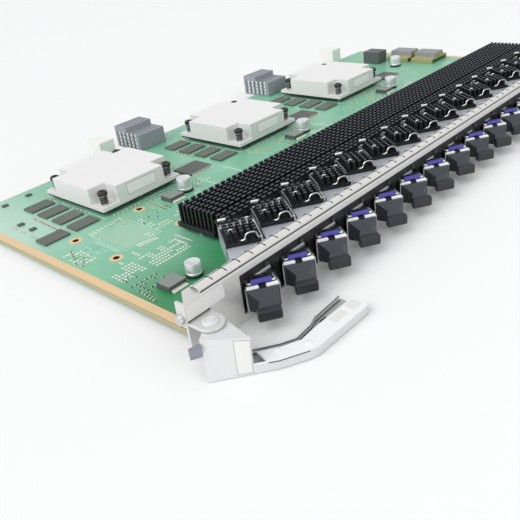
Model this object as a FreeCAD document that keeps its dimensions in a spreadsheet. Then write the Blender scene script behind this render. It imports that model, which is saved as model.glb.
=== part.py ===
"""Passive optical network interface board: a plug-in line card with sixteen slanted optical ports.

Frame: X runs along the front panel, the panel's front face lies in the XZ plane, +Y points to the
backplane and +Z is up. The origin is the middle of the panel's lower front edge. Millimetres.
"""
import FreeCAD
import Part
import Sketcher
import math
import os
from types import SimpleNamespace

SIZES = {
    # front panel, one folded sheet
    "panel_length": 399.2,
    "panel_height": 22.4,
    "panel_gauge": 1.2,
    "top_flange_depth": 8.0,
    "bottom_flange_depth": 16.0,
    "bottom_flange_inset": 13.6,
    "end_flange_depth": 5.0,
    "end_flange_foot": 12.6,
    "top_flange_bevel": 6.0,
    "window_inset": 26.6,
    "window_bottom": 3.4,
    "window_top": 20.0,
    # circuit board
    "board_inset": 6.7,
    "board_front": 6.8,
    "board_depth": 193.9,
    "board_rise": 2.0,
    "board_thickness": 2.4,
    # shielding finger strip on the top flange
    "gasket_front": 1.8,
    "gasket_width": 5.1,
    "gasket_height": 1.5,
    "gasket_wall": 0.3,
    "gasket_inset": 9.0,
    "finger_pitch": 7.03,
    "finger_slit": 0.5,
    "finger_slit_length": 2.2,
    # slanted ports
    "first_port": 27.2,
    "last_port": 55.4,
    "port_pitch": 21.1,
    "port_tilt": 35.0,
    "port_proud": 1.06,
    "bezel_depth": 4.8,
    "bezel_lap": 4.0,
    "slot_clearance": 0.4,
    "bail_headroom": 1.4,
    "lamp_radius": 0.9,
    "lamp_level": 17.3,
    "lamp_offset": 14.6,
    # optical transceiver
    "head_width": 13.56,
    "head_length": 9.0,
    "head_height": 10.0,
    "module_width": 13.4,
    "module_height": 8.6,
    "module_length": 58.0,
    "module_clearance": 0.35,
    "socket_width": 10.4,
    "socket_height": 7.2,
    "socket_depth": 8.0,
    "keyway_width": 2.6,
    "bail_wire": 0.9,
    "bail_setback": 1.6,
    "bail_length": 4.6,
    "bail_grip_radius": 1.05,
    "bail_grip_length": 8.0,
    # dust plug
    "plug_margin": 0.7,
    "plug_flange": 1.4,
    "plug_clearance": 0.3,
    "plug_insert": 6.5,
    "plug_reach": 10.0,
    "plug_waist": 8.0,
    "plug_bar_width": 8.6,
    "plug_bar_depth": 3.2,
    "plug_bar_height": 4.6,
    # cage with its riding heat sink and spring clip
    "cage_gauge": 0.4,
    "cage_front": 7.4,
    "cage_length": 60.0,
    "rider_setback": 34.3,
    "rider_width": 15.6,
    "rider_length": 16.6,
    "rider_base": 1.5,
    "rider_height": 5.9,
    "rider_pin": 1.5,
    "rider_pitch": 2.9,
    "clip_wire": 0.8,
    "clip_hump": 1.6,
    "clip_bar": 3.4,
    "clip_bar_height": 2.0,
    # long pin heat sink
    "long_sink_inset": 60.6,
    "long_sink_end_inset": 9.5,
    "long_sink_front": 51.0,
    "long_sink_depth": 25.0,
    "long_sink_base": 2.5,
    "long_sink_height": 11.6,
    "shelf_depth": 7.2,
    "long_pin_length": 2.5,
    "long_pin_width": 1.3,
    "long_pitch_x": 4.05,
    "long_pitch_y": 2.75,
    "standoff_radius": 2.0,
    "driver_size": 12.0,
    "driver_height": 1.8,
    # coolers with sprung screws
    "cooler_first": 50.2,
    "cooler_pitch": 101.9,
    "cooler_back": 23.4,
    "cooler_width": 52.3,
    "cooler_depth": 54.9,
    "cooler_plate": 2.0,
    "cooler_height": 10.8,
    "cooler_notch": 10.5,
    "screw_inset": 4.6,
    "screw_radius": 1.25,
    "screw_head_radius": 2.7,
    "screw_head_height": 2.2,
    "spring_wall": 0.8,
    "spring_length": 5.4,
    "screw_hole_clearance": 0.15,
    "nut_radius": 2.8,
    "nut_height": 1.5,
    "processor_size": 36.0,
    "processor_height": 2.4,
    "pad_thickness": 0.4,
    # chips, capacitors
    "memory_length": 14.4,
    "memory_width": 9.4,
    "memory_height": 1.1,
    "memory_pitch": 14.3,
    "memory_gap": 3.2,
    "chip_height": 1.4,
    "power_chip_depth": 8.8,
    "power_chip_height": 2.6,
    "inductor_length": 15.0,
    "inductor_width": 12.0,
    "inductor_height": 9.5,
    "can_radius": 4.0,
    "can_height": 6.6,
    "can_foot": 8.6,
    "can_foot_height": 1.2,
    # spare bolt pattern on the board
    "pattern_x": 46.4,
    "pattern_y": 97.6,
    "pattern_spacing_x": 39.4,
    "pattern_spacing_y": 33.2,
    "pattern_hole_radius": 1.6,
    # rear edge
    "connector_first": 124.8,
    "connector_pitch": 124.9,
    "connector_width": 21.0,
    "connector_depth": 25.0,
    "connector_height": 14.0,
    "connector_overhang": 10.5,
    "connector_slot": 2.0,
    "guide_first": 101.7,
    "guide_pitch": 243.0,
    "guide_width": 11.0,
    "guide_depth": 15.0,
    "guide_height": 11.5,
    "guide_bore": 3.6,
    "power_module_width": 24.0,
    "power_module_depth": 19.0,
    "power_module_height": 8.5,
    # ejector levers
    "pivot_inset": 5.6,
    "pivot_reach": 5.4,
    "ear_top": 15.0,
    "ear_radius": 5.2,
    "rivet_radius": 1.9,
    "rivet_head_radius": 3.0,
    "rivet_head_height": 0.8,
    "rivet_clearance": 0.1,
    "lever_gauge": 1.0,
    "lever_foot": 0.3,
    "lever_gap": 0.3,
    "handle_top": 3.8,
    "handle_reach": 30.0,
    "handle_end": 50.5,
    "handle_width": 8.0,
    "lock_gap": 1.5,
    "lock_gauge": 1.0,
    "stud_radius": 1.0,
    # panel screws
    "panel_screw_radius": 1.45,
    "panel_screw_head_radius": 2.8,
    "panel_screw_head_height": 1.6,
    "panel_screw_hole_clearance": 0.1,
    "panel_seat_size": 8.0,
    "end_screw_head_radius": 2.0,
    "end_screw_level": 15.9,
    "end_screw_setback": 2.9,
}
COOLER_COUNT = 3
MEMORY_PER_COOLER = 4
ARCH_FACETS = 8
DRIVER_COUNT = 8
REAR_PAIR = 2
CONNECTOR_COLUMNS = 4
CONNECTOR_ROWS = 3
POWER_ROWS = 2

doc = FreeCAD.newDocument("PonInterfaceBoard")
sheet = doc.addObject("Spreadsheet::Sheet", "Sizes")


class Size:
    """A length that knows its number and the spreadsheet formula that gives it."""

    def __init__(self, value, text):
        self.value = value
        self.text = text

    def __add__(self, other):
        other = as_size(other)
        return Size(self.value + other.value, f"({self.text} + {other.text})")

    def __sub__(self, other):
        other = as_size(other)
        return Size(self.value - other.value, f"({self.text} - {other.text})")

    def __mul__(self, other):
        other = as_size(other)
        return Size(self.value * other.value, f"({self.text} * {other.text})")

    def __truediv__(self, other):
        other = as_size(other)
        return Size(self.value / other.value, f"({self.text} / {other.text})")

    def __neg__(self):
        return as_size(0) - self

    def __radd__(self, other):
        return as_size(other) + self

    def __rsub__(self, other):
        return as_size(other) - self

    def __rmul__(self, other):
        return as_size(other) * self


def as_size(amount):
    """A plain number as a Size."""
    if isinstance(amount, Size):
        return amount
    return Size(float(amount), f"({float(amount)!r})")


def cosine(angle):
    return Size(math.cos(math.radians(angle.value)), f"cos({angle.text} * 1 deg)")


def sine(angle):
    return Size(math.sin(math.radians(angle.value)), f"sin({angle.text} * 1 deg)")


def fill_sheet():
    """One row for each driving dimension: its name, its number and its alias."""
    named = {}
    for row, (alias, number) in enumerate(SIZES.items(), start=1):
        sheet.set(f"A{row}", alias)
        sheet.set(f"B{row}", str(number))
        sheet.setAlias(f"B{row}", alias)
        named[alias] = Size(float(number), f"Sizes.{alias}")
    doc.recompute()
    return SimpleNamespace(**named)


S = fill_sheet()


# Building blocks

def bind(item, path, amount):
    item.setExpression(path, as_size(amount).text)


def put(item, x, y, z, turn=None):
    """Place an object, and turn it about its own vertical axis."""
    bind(item, "Placement.Base.x", x)
    bind(item, "Placement.Base.y", y)
    bind(item, "Placement.Base.z", z)
    if turn is not None:
        item.setExpression("Placement.Rotation.Angle", f"{turn.text} * 1 deg")
    return item


def box(name, size, at):
    """A block given by its three edges and its lowest corner."""
    block = doc.addObject("Part::Box", name)
    bind(block, "Length", size[0])
    bind(block, "Width", size[1])
    bind(block, "Height", size[2])
    return put(block, *at)


def rod(name, radius, length, at):
    """An upright cylinder given by the middle of its lower end."""
    cylinder = doc.addObject("Part::Cylinder", name)
    bind(cylinder, "Radius", radius)
    bind(cylinder, "Height", length)
    return put(cylinder, *at)


def wedge(name, front, back, middle, front_width, back_width, level, front_height, back_height):
    """A flat-bottomed block whose sides and top slope evenly from its front to its back."""
    block = doc.addObject("Part::Wedge", name)
    bind(block, "Ymin", front)
    bind(block, "Ymax", back)
    bind(block, "Xmin", middle - front_width / 2)
    bind(block, "Xmax", middle + front_width / 2)
    bind(block, "X2min", middle - back_width / 2)
    bind(block, "X2max", middle + back_width / 2)
    bind(block, "Zmin", level)
    bind(block, "Zmax", level + front_height)
    bind(block, "Z2min", level)
    bind(block, "Z2max", level + back_height)
    return block


def fuse(name, pieces):
    joined = doc.addObject("Part::MultiFuse", name)
    joined.Shapes = pieces
    joined.Refine = True
    return joined


def cut(name, base, tool):
    result = doc.addObject("Part::Cut", name)
    result.Base = base
    result.Tool = tool
    result.Refine = True
    return result


def group(name, pieces):
    together = doc.addObject("Part::Compound", name)
    together.Links = pieces
    return together


def copy_of(master, name):
    """One more of a piece that is modelled once, to be put in a place of its own."""
    return group(name, [master])


def plan_sketch(body, name, corners, level):
    """A level polygon in a body, its every corner bound to the sheet."""
    plan = body.newObject("Sketcher::SketchObject", name)
    plane = [item for item in body.Origin.OriginFeatures if item.Role == "XY_Plane"][0]
    plan.AttachmentSupport = [(plane, "")]
    plan.MapMode = "FlatFace"
    bind(plan, "AttachmentOffset.Base.z", level)
    places = [(as_size(x), as_size(y)) for x, y in corners]
    points = [FreeCAD.Vector(x.value, y.value, 0) for x, y in places]
    count = len(points)
    for index in range(count):
        plan.addGeometry(Part.LineSegment(points[index], points[(index + 1) % count]))
    for index in range(count):
        plan.addConstraint(Sketcher.Constraint("Coincident", index, 2, (index + 1) % count, 1))
    for index, (x, y) in enumerate(places):
        across = plan.addConstraint(Sketcher.Constraint("DistanceX", -1, 1, index, 1, x.value))
        plan.setExpression(f"Constraints[{across}]", x.text)
        along = plan.addConstraint(Sketcher.Constraint("DistanceY", -1, 1, index, 1, y.value))
        plan.setExpression(f"Constraints[{along}]", y.text)
    return plan


def prism(name, corners, start, height):
    """A body padded upwards from a polygon."""
    body = doc.addObject("PartDesign::Body", name)
    plan = plan_sketch(body, f"{name}_plan", corners, start)
    pad = body.newObject("PartDesign::Pad", f"{name}_pad")
    pad.Profile = plan
    bind(pad, "Length", height)
    return body


def leaning(name, foot_corners, foot, head_corners, head):
    """A body whose straight sides run from one level polygon up to another."""
    body = doc.addObject("PartDesign::Body", name)
    low = plan_sketch(body, f"{name}_foot", foot_corners, foot)
    high = plan_sketch(body, f"{name}_head", head_corners, head)
    loft = body.newObject("PartDesign::AdditiveLoft", f"{name}_loft")
    loft.Profile = low
    loft.Sections = [high]
    loft.Ruled = True
    return body


def polygon_face(corners):
    wire = Part.makePolygon([*corners, corners[0]])
    return Part.Face(wire)


def level_face(xs, ys, z):
    """A level rectangle, facing up, with a corner at each of the given places along its edges."""
    front = [FreeCAD.Vector(x, ys[0], z) for x in xs]
    right = [FreeCAD.Vector(xs[-1], y, z) for y in ys[1:]]
    back = [FreeCAD.Vector(x, ys[-1], z) for x in reversed(xs[:-1])]
    left = [FreeCAD.Vector(xs[0], y, z) for y in reversed(ys[1:-1])]
    return polygon_face(front + right + back + left)


def walls(xs, ys, low, high):
    """Four upright faces round a rectangle, their upper edges with a corner at each given place."""
    upper = [[(x, ys[0]) for x in xs], [(xs[-1], y) for y in ys],
             [(x, ys[-1]) for x in reversed(xs)], [(xs[0], y) for y in reversed(ys)]]
    sides = []
    for edge in upper:
        ends = [FreeCAD.Vector(x, y, low) for x, y in (edge[0], edge[-1])]
        rim = [FreeCAD.Vector(x, y, high) for x, y in reversed(edge)]
        sides.append(polygon_face(ends + rim))
    return sides


def pin_edges(span, pin, pitch, margin):
    """Where pins start and end along one side of a heat sink, the sides of the base included."""
    count = int((span - 2 * margin - pin) / pitch) + 1
    start = (span - (count - 1) * pitch - pin) / 2
    edges = [0]
    for number in range(count):
        edges.extend([start + number * pitch, start + number * pitch + pin])
    return [*edges, span]


def pin_field(length, depth, base, height, pin, pitch, margin):
    """One solid: a flat base with rows of rectangular pins, its lowest corner at the origin."""
    xs = pin_edges(length, pin[0], pitch[0], margin)
    ys = pin_edges(depth, pin[1], pitch[1], margin)
    faces = walls(xs, ys, 0, base)
    faces.append(level_face([0, length], [0, depth], 0))
    for column in range(0, len(xs) - 1, 2):
        faces.append(level_face(xs[column:column + 2], ys, base))
    for column in range(1, len(xs) - 1, 2):
        across = xs[column:column + 2]
        for row in range(0, len(ys) - 1, 2):
            faces.append(level_face(across, ys[row:row + 2], base))
        for row in range(1, len(ys) - 1, 2):
            along = ys[row:row + 2]
            faces.extend(walls(across, along, base, height))
            faces.append(level_face(across, along, height))
    skin = Part.makeCompound(faces)
    skin.sewShape()
    return Part.makeSolid(skin.Shells[0])


def feature(name, shape):
    """A sub-part whose shape is set in one go."""
    item = doc.addObject("Part::Feature", name)
    item.Shape = shape
    return item


# Places that several pieces share

PANEL_END = S.panel_length / 2
BOARD_TOP = S.board_rise + S.board_thickness
BOARD_BACK = S.board_front + S.board_depth
BOARD_LEFT = S.board_inset - PANEL_END
BOARD_WIDTH = S.panel_length - 2 * S.board_inset
CAGE_WIDTH = S.module_width + 2 * S.module_clearance + 2 * S.cage_gauge
CAGE_HEIGHT = S.module_height + 2 * S.module_clearance + S.cage_gauge
CAGE_TOP = BOARD_TOP + CAGE_HEIGHT
COOLER_FRONT = BOARD_BACK - S.cooler_back - S.cooler_depth
COOLER_FLOOR = BOARD_TOP + S.processor_height + S.pad_thickness
LONG_SINK_FLOOR = BOARD_TOP + S.driver_height
PIVOT_X = S.pivot_inset - PANEL_END
PIVOT_Y = -S.pivot_reach
LEVER_PLATE_TOP = S.ear_top - S.panel_gauge - S.lever_gap


# As many ports as the panel's length takes at their pitch
PORT_COUNT = int((S.panel_length - S.first_port - S.last_port).value / S.port_pitch.value) + 1


def port_x(index):
    return S.first_port - PANEL_END + index * S.port_pitch


def at_port(item, index, level):
    """Set a piece that is modelled at one port's own corner and axis into its place."""
    return put(item, port_x(index), -S.port_proud, level, -S.port_tilt)


def cooler_x(index):
    return S.cooler_first - PANEL_END + index * S.cooler_pitch


def cooler_screw_places():
    """Axis of each sprung screw, at the four corners of each cooler."""
    places = []
    for index in range(COOLER_COUNT):
        for x in (S.screw_inset, S.cooler_width - S.screw_inset):
            for y in (S.screw_inset, S.cooler_depth - S.screw_inset):
                places.append((cooler_x(index) + x, COOLER_FRONT + y))
    return places


def panel_screw_places():
    """Axis of each screw that holds the board on the panel's bottom flange."""
    row_y = (S.board_front + S.bottom_flange_depth) / 2
    reach = PANEL_END - S.window_inset + S.panel_seat_size
    return [(-reach, row_y), (reach, row_y)]


def pattern_places():
    """Axis of each hole in the spare bolt pattern."""
    middle_x = S.pattern_x - PANEL_END
    places = []
    for x in (-S.pattern_spacing_x / 2, S.pattern_spacing_x / 2):
        for y in (-S.pattern_spacing_y / 2, S.pattern_spacing_y / 2):
            places.append((middle_x + x, S.pattern_y + y))
    return places


# Board and panel

def make_circuit_board():
    plate = box("board_plate", (BOARD_WIDTH, S.board_depth, S.board_thickness),
                (BOARD_LEFT, S.board_front, S.board_rise))
    cooler_hole = S.screw_radius + S.screw_hole_clearance
    panel_hole = S.panel_screw_radius + S.panel_screw_hole_clearance
    holes = []
    for radius, places in ((S.pattern_hole_radius, pattern_places()),
                           (cooler_hole, cooler_screw_places()),
                           (panel_hole, panel_screw_places())):
        for x, y in places:
            holes.append(rod("board_hole", radius, S.board_thickness, (x, y, S.board_rise)))
    return cut("circuit_board", plate, group("board_holes", holes))


def make_front_panel():
    g = S.panel_gauge
    left = -PANEL_END
    face = box("panel_face", (S.panel_length, g, S.panel_height), (left, 0, 0))
    bevel = S.top_flange_bevel
    top = prism("panel_top", [(left, 0), (PANEL_END, 0), (PANEL_END - bevel, S.top_flange_depth),
                              (left + bevel, S.top_flange_depth)], S.panel_height - g, g)
    inset = S.bottom_flange_inset
    bottom = box("panel_bottom", (S.panel_length - 2 * inset, S.bottom_flange_depth, g), (left + inset, 0, 0))
    sheet_pieces = [face, top, bottom]
    foot = S.end_flange_foot
    for x in (left, PANEL_END - g):
        sheet_pieces.append(box("panel_end", (g, S.end_flange_depth, S.panel_height - foot), (x, 0, foot)))
    for side in (-1, 1):
        x = -side * PIVOT_X
        r = S.ear_radius
        level = S.ear_top - g
        sheet_pieces.append(rod("ear_round", r, g, (x, PIVOT_Y, level)))
        sheet_pieces.append(box("ear_root", (2 * r, S.pivot_reach + g / 2, g), (x - r, PIVOT_Y, level)))
    for x, y in panel_screw_places():
        half = S.panel_seat_size / 2
        depth = S.bottom_flange_depth - S.board_front
        sheet_pieces.append(box("panel_seat", (S.panel_seat_size, depth, S.board_rise),
                                (x - half, S.board_front, 0)))
    window_length = S.panel_length - 2 * S.window_inset
    openings = [box("panel_window", (window_length, g, S.window_top - S.window_bottom),
                    (left + S.window_inset, 0, S.window_bottom))]
    for side in (-1, 1):
        openings.append(rod("ear_hole", S.rivet_radius + S.rivet_clearance, g,
                            (-side * PIVOT_X, PIVOT_Y, S.ear_top - g)))
    for x, y in panel_screw_places():
        openings.append(rod("flange_hole", S.panel_screw_radius + S.panel_screw_hole_clearance,
                            S.board_rise, (x, y, 0)))
    return cut("front_panel", fuse("panel_sheet", sheet_pieces), group("panel_openings", openings))


def make_emi_gasket():
    """A half-round strip of spring fingers, hollow, with a short slit behind its crest between each two."""
    half = S.gasket_width / 2
    outer, inner = [], []
    for step in range(ARCH_FACETS + 1):
        angle = math.pi * step / ARCH_FACETS
        outer.append((half - half * math.cos(angle), S.gasket_height * math.sin(angle)))
    for step in range(ARCH_FACETS, -1, -1):
        angle = math.pi * step / ARCH_FACETS
        inner.append((half - (half - S.gasket_wall) * math.cos(angle),
                      (S.gasket_height - S.gasket_wall) * math.sin(angle)))
    length = S.panel_length - 2 * S.gasket_inset
    arch = prism("gasket_arch", outer + inner, 0, length)
    arch.Placement.Rotation = FreeCAD.Rotation(FreeCAD.Vector(1, 1, 1), 120)
    left = S.gasket_inset - PANEL_END
    put(arch, left, S.gasket_front, S.panel_height)
    slits = []
    rim = S.gasket_wall
    slit_y = S.gasket_front + S.gasket_width - rim - S.finger_slit_length
    for number in range(1, int(length.value / S.finger_pitch.value)):
        x = left + number * S.finger_pitch
        slits.append(box("finger_slit", (S.finger_slit, S.finger_slit_length, S.gasket_height),
                         (x, slit_y, S.panel_height + rim)))
    return cut("emi_gasket", arch, group("finger_slits", slits))


def lamp_place(index):
    return port_x(index) + S.lamp_offset


def lying_rod(name, radius, length, at):
    """A cylinder along +Y, given by the middle of its front end."""
    cylinder = rod(name, radius, length, at)
    cylinder.Placement.Rotation = FreeCAD.Rotation(FreeCAD.Vector(1, 0, 0), -90)
    return cylinder


def make_port_bezel():
    """A moulded bar behind the window, with a slanted slot for each transceiver."""
    g = S.panel_gauge
    gap = S.slot_clearance
    length = S.panel_length - 2 * S.window_inset + 2 * S.bezel_lap
    bar = box("bezel_bar", (length, S.bezel_depth, S.panel_height - 2 * g),
              (S.window_inset - S.bezel_lap - PANEL_END, g, g))
    tools = []
    for index in range(PORT_COUNT):
        slot = box("bezel_slot", (S.head_width + 2 * gap, S.module_length,
                                  S.head_height + gap + S.bail_headroom), (0, 0, 0))
        back = -S.head_width - S.bezel_depth
        put(slot, port_x(index) - gap * cosine(S.port_tilt) + back * sine(S.port_tilt),
            -S.port_proud + gap * sine(S.port_tilt) + back * cosine(S.port_tilt),
            BOARD_TOP - gap, -S.port_tilt)
        tools.append(slot)
        tools.append(lying_rod("lamp_hole", S.lamp_radius, S.bezel_depth,
                               (lamp_place(index), g, S.lamp_level)))
    return cut("port_bezel", bar, group("bezel_slots", tools))


def make_light_pipes():
    pipes = [lying_rod("light_pipe", S.lamp_radius, S.bezel_depth + S.panel_gauge / 2,
                       (lamp_place(index), S.panel_gauge / 2, S.lamp_level))
             for index in range(PORT_COUNT)]
    return group("light_pipes", pipes)


# Ports: transceivers, plugs, cages and their heat sinks

def model_transceiver():
    """Nickel body with a receptacle in its head, and the bail that lies on the head."""
    side = (S.head_width - S.module_width) / 2
    head = box("transceiver_head", (S.head_width, S.head_length, S.head_height), (0, 0, 0))
    body = box("transceiver_body", (S.module_width, S.module_length - S.head_length, S.module_height),
               (side, S.head_length, S.module_clearance))
    socket_x = (S.head_width - S.socket_width) / 2
    socket_z = (S.head_height - S.socket_height) / 2
    socket = box("transceiver_socket", (S.socket_width, S.socket_depth, S.socket_height),
                 (socket_x, 0, socket_z))
    keyway = box("transceiver_keyway", (S.keyway_width, S.socket_depth, socket_z),
                 ((S.head_width - S.keyway_width) / 2, 0, S.head_height - socket_z))
    shell = cut("transceiver_shell", fuse("transceiver_blank", [head, body]),
                group("transceiver_cuts", [socket, keyway]))
    wire = S.bail_wire
    bar_y = S.bail_setback
    legs = [box("bail_leg", (wire, S.bail_length, wire), (x, bar_y, S.head_height))
            for x in (wire, S.head_width - 2 * wire)]
    cross = box("bail_cross", (S.head_width - 2 * wire, wire, wire), (wire, bar_y, S.head_height))
    grip_flat = 2 * S.bail_grip_radius
    grip = box("bail_grip", (S.bail_grip_length, grip_flat, grip_flat),
               ((S.head_width - S.bail_grip_length) / 2, bar_y + wire / 2 - S.bail_grip_radius,
                S.head_height))
    bail = fuse("transceiver_bail", [cross, grip, *legs])
    return group("transceiver_model", [shell, bail])


def model_dust_plug():
    """Rubber plug: an insert in the receptacle, a flange on the face, a waist and a pull bar."""
    gap = S.plug_clearance
    width = S.socket_width - 2 * gap
    height = S.socket_height - 2 * gap
    insert = box("plug_insert", (width, S.plug_insert, height),
                 ((S.head_width - width) / 2, 0, (S.head_height - height) / 2))
    flange = box("plug_flange", (S.head_width - 2 * S.plug_margin, S.plug_flange,
                                 S.head_height - 2 * S.plug_margin),
                 (S.plug_margin, -S.plug_flange, S.plug_margin))
    middle = S.head_width / 2
    bar_front = S.plug_bar_depth - S.plug_reach
    waist = wedge("plug_waist", bar_front, -S.plug_flange, middle, S.plug_waist,
                  S.head_width - 2 * S.plug_margin,
                  S.plug_margin, S.plug_bar_height, S.head_height - 2 * S.plug_margin)
    bar = box("plug_bar", (S.plug_bar_width, S.plug_bar_depth, S.plug_bar_height),
              (middle - S.plug_bar_width / 2, -S.plug_reach, S.plug_margin))
    return fuse("dust_plug_model", [insert, flange, waist, bar])


def one_per_port(master, name):
    """A numbered sub-part of its own in each port."""
    return [at_port(copy_of(master, f"{name}_{index + 1:02d}"), index, BOARD_TOP)
            for index in range(PORT_COUNT)]


def row_of(master, name):
    """A piece of one sub-part in each port."""
    return [at_port(copy_of(master, name), index, BOARD_TOP) for index in range(PORT_COUNT)]


def make_transceiver_cages():
    """Folded sheet covers on the board, trimmed parallel to the panel at their mouths."""
    side = (S.head_width - CAGE_WIDTH) / 2
    g = S.cage_gauge
    outer = box("cage_outer", (CAGE_WIDTH, S.cage_length, CAGE_HEIGHT), (side, 0, 0))
    hollow = box("cage_hollow", (CAGE_WIDTH - 2 * g, S.cage_length - g, CAGE_HEIGHT - g),
                 (side + g, 0, 0))
    covers = row_of(cut("cage_model", outer, hollow), "cage")
    mouth = box("cage_mouth", (S.panel_length, S.cage_front + S.cage_length, CAGE_HEIGHT),
                (-PANEL_END, -S.cage_length, BOARD_TOP))
    return cut("transceiver_cages", group("cage_row", covers), mouth)


def make_cage_heat_sinks():
    """A small black pin heat sink that rides on each cage."""
    side = ((S.head_width - S.rider_width) / 2).value
    margin = S.clip_wire.value
    rider = pin_field(S.rider_width.value, S.rider_length.value, S.rider_base.value,
                      S.rider_height.value, (S.rider_pin.value, S.rider_pin.value),
                      (S.rider_pitch.value, S.rider_pitch.value), margin)
    rider.translate(FreeCAD.Vector(side, S.rider_setback.value, 0))
    riders = []
    turn = FreeCAD.Rotation(FreeCAD.Vector(0, 0, 1), -S.port_tilt.value)
    for index in range(PORT_COUNT):
        base = FreeCAD.Vector(port_x(index).value, -S.port_proud.value, CAGE_TOP.value)
        copy = rider.copy()
        copy.Placement = FreeCAD.Placement(base, turn).multiply(copy.Placement)
        riders.append(copy)
    return feature("cage_heat_sinks", Part.makeCompound(riders))


def make_heat_sink_clips():
    """A bent wire spring on each riding heat sink, hooked on the cage's sides."""
    w = S.clip_wire
    left = (S.head_width - CAGE_WIDTH) / 2 - w
    width = CAGE_WIDTH + 2 * w
    level = CAGE_HEIGHT + S.rider_base + w
    hook = CAGE_HEIGHT / 2
    front = S.rider_setback - w
    back = S.rider_setback + S.rider_length
    right = left + width - w
    pieces = [box("clip_side", (w, S.rider_length + 2 * w, w), (right, front, level)),
              box("clip_cross", (width, w, w), (left, front, level)),
              box("clip_back", (width, w, w), (left, back, level)),
              box("clip_bar", (S.clip_bar, w, S.clip_bar_height), (left, back, level)),
              box("clip_hump", (width / 4, w, S.clip_hump), (left + width / 2 + w, front, level))]
    for x, y in ((left, front), (right, front), (left, back)):
        pieces.append(box("clip_leg", (w, w, level - hook), (x, y, hook)))
    return group("heat_sink_clips", row_of(fuse("clip_model", pieces), "clip"))


# Long heat sink

def long_sink_length():
    return S.panel_length - S.long_sink_inset - S.long_sink_end_inset


def make_long_heat_sink():
    """A field of pins behind the cages, and a low strip of the same pins on the cages' rear ends."""
    pin = (S.long_pin_length.value, S.long_pin_width.value)
    pitch = (S.long_pitch_x.value, S.long_pitch_y.value)
    length = long_sink_length().value
    field = pin_field(length, S.long_sink_depth.value, S.long_sink_base.value,
                      S.long_sink_height.value, pin, pitch, 0)
    rise = (CAGE_TOP - LONG_SINK_FLOOR).value
    shelf = pin_field(length, S.shelf_depth.value, S.rider_base.value,
                      S.long_sink_height.value - rise, pin, pitch, 0)
    shelf.translate(FreeCAD.Vector(0, pin[1] - pitch[1] - S.shelf_depth.value, rise))
    sink = feature("long_heat_sink", Part.makeCompound([field, shelf]))
    return put(sink, S.long_sink_inset - PANEL_END, S.long_sink_front, LONG_SINK_FLOOR)


def make_sink_standoffs():
    """Posts that carry the long heat sink on the board."""
    posts = []
    middle = S.long_sink_front + S.long_sink_depth / 2
    left = S.long_sink_inset - PANEL_END
    for share in range(DRIVER_COUNT + 1):
        inset = 2 * S.standoff_radius
        x = left + inset + share * (long_sink_length() - 2 * inset) / DRIVER_COUNT
        posts.append(rod("standoff", S.standoff_radius, S.driver_height, (x, middle, BOARD_TOP)))
    return group("sink_standoffs", posts)


# Coolers

def make_coolers():
    """Aluminium blocks on a thin plate, their corners notched for the sprung screws."""
    w, d, n = S.cooler_width, S.cooler_depth, S.cooler_notch
    hole = S.screw_radius + S.screw_hole_clearance
    block = box("cooler_block", (w, d, S.cooler_height), (0, 0, 0))
    cuts = []
    for x in (0, w - n):
        for y in (0, d - n):
            cuts.append(box("cooler_notch", (n, n, S.cooler_height - S.cooler_plate),
                            (x, y, S.cooler_plate)))
    for x in (S.screw_inset, w - S.screw_inset):
        for y in (S.screw_inset, d - S.screw_inset):
            cuts.append(rod("cooler_hole", hole, S.cooler_plate, (x, y, 0)))
    model = cut("cooler_model", block, group("cooler_cuts", cuts))
    return group("coolers", [put(copy_of(model, "cooler"), cooler_x(index), COOLER_FRONT, COOLER_FLOOR)
                             for index in range(COOLER_COUNT)])


def make_cooler_screws():
    plate_top = COOLER_FLOOR + S.cooler_plate
    head_level = plate_top + S.spring_length
    foot = S.board_rise - S.nut_height
    shank = rod("screw_shank", S.screw_radius, head_level - foot, (0, 0, foot))
    head = rod("screw_head", S.screw_head_radius, S.screw_head_height, (0, 0, head_level))
    return at_cooler_corners(fuse("screw_model", [shank, head]), "cooler_screw")


def at_cooler_corners(master, name):
    """One of a piece at each corner of each cooler."""
    return group(f"{name}s", [put(copy_of(master, name), x, y, 0) for x, y in cooler_screw_places()])


def sleeve(name, outer, inner, length, level):
    """An upright tube on the origin's axis."""
    at = (0, 0, level)
    return cut(name, rod(f"{name}_outer", outer, length, at), rod(f"{name}_bore", inner, length, at))


def make_cooler_springs():
    """Each compression spring as the sleeve that its coils fill."""
    bore = S.screw_radius + S.screw_hole_clearance
    model = sleeve("spring_model", bore + S.spring_wall, bore, S.spring_length,
                   COOLER_FLOOR + S.cooler_plate)
    return at_cooler_corners(model, "cooler_spring")


def make_cooler_nuts():
    model = sleeve("nut_model", S.nut_radius, S.screw_radius, S.nut_height,
                   S.board_rise - S.nut_height)
    return at_cooler_corners(model, "cooler_nut")


def under_cooler(name, height, level):
    """A square piece below the middle of each cooler."""
    pieces = []
    for index in range(COOLER_COUNT):
        x = cooler_x(index) + (S.cooler_width - S.processor_size) / 2
        y = COOLER_FRONT + (S.cooler_depth - S.processor_size) / 2
        pieces.append(box(name, (S.processor_size, S.processor_size, height), (x, y, level)))
    return group(f"{name}s", pieces)


def make_processors():
    return under_cooler("processor", S.processor_height, BOARD_TOP)


def make_thermal_pads():
    return under_cooler("thermal_pad", S.pad_thickness, BOARD_TOP + S.processor_height)


# Small parts on the board

def make_memory_chips():
    chips = []
    size = (S.memory_length, S.memory_width, S.memory_height)
    for index in range(COOLER_COUNT):
        x = cooler_x(index) - S.memory_gap - S.memory_length
        for row in range(MEMORY_PER_COOLER):
            y = COOLER_FRONT + row * S.memory_pitch
            chips.append(box("memory_chip", size, (x, y, BOARD_TOP)))
    lone_x = cooler_x(0) - 2 * (S.memory_gap + S.memory_length)
    chips.append(box("memory_chip", size, (lone_x, COOLER_FRONT, BOARD_TOP)))
    return group("memory_chips", chips)


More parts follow.
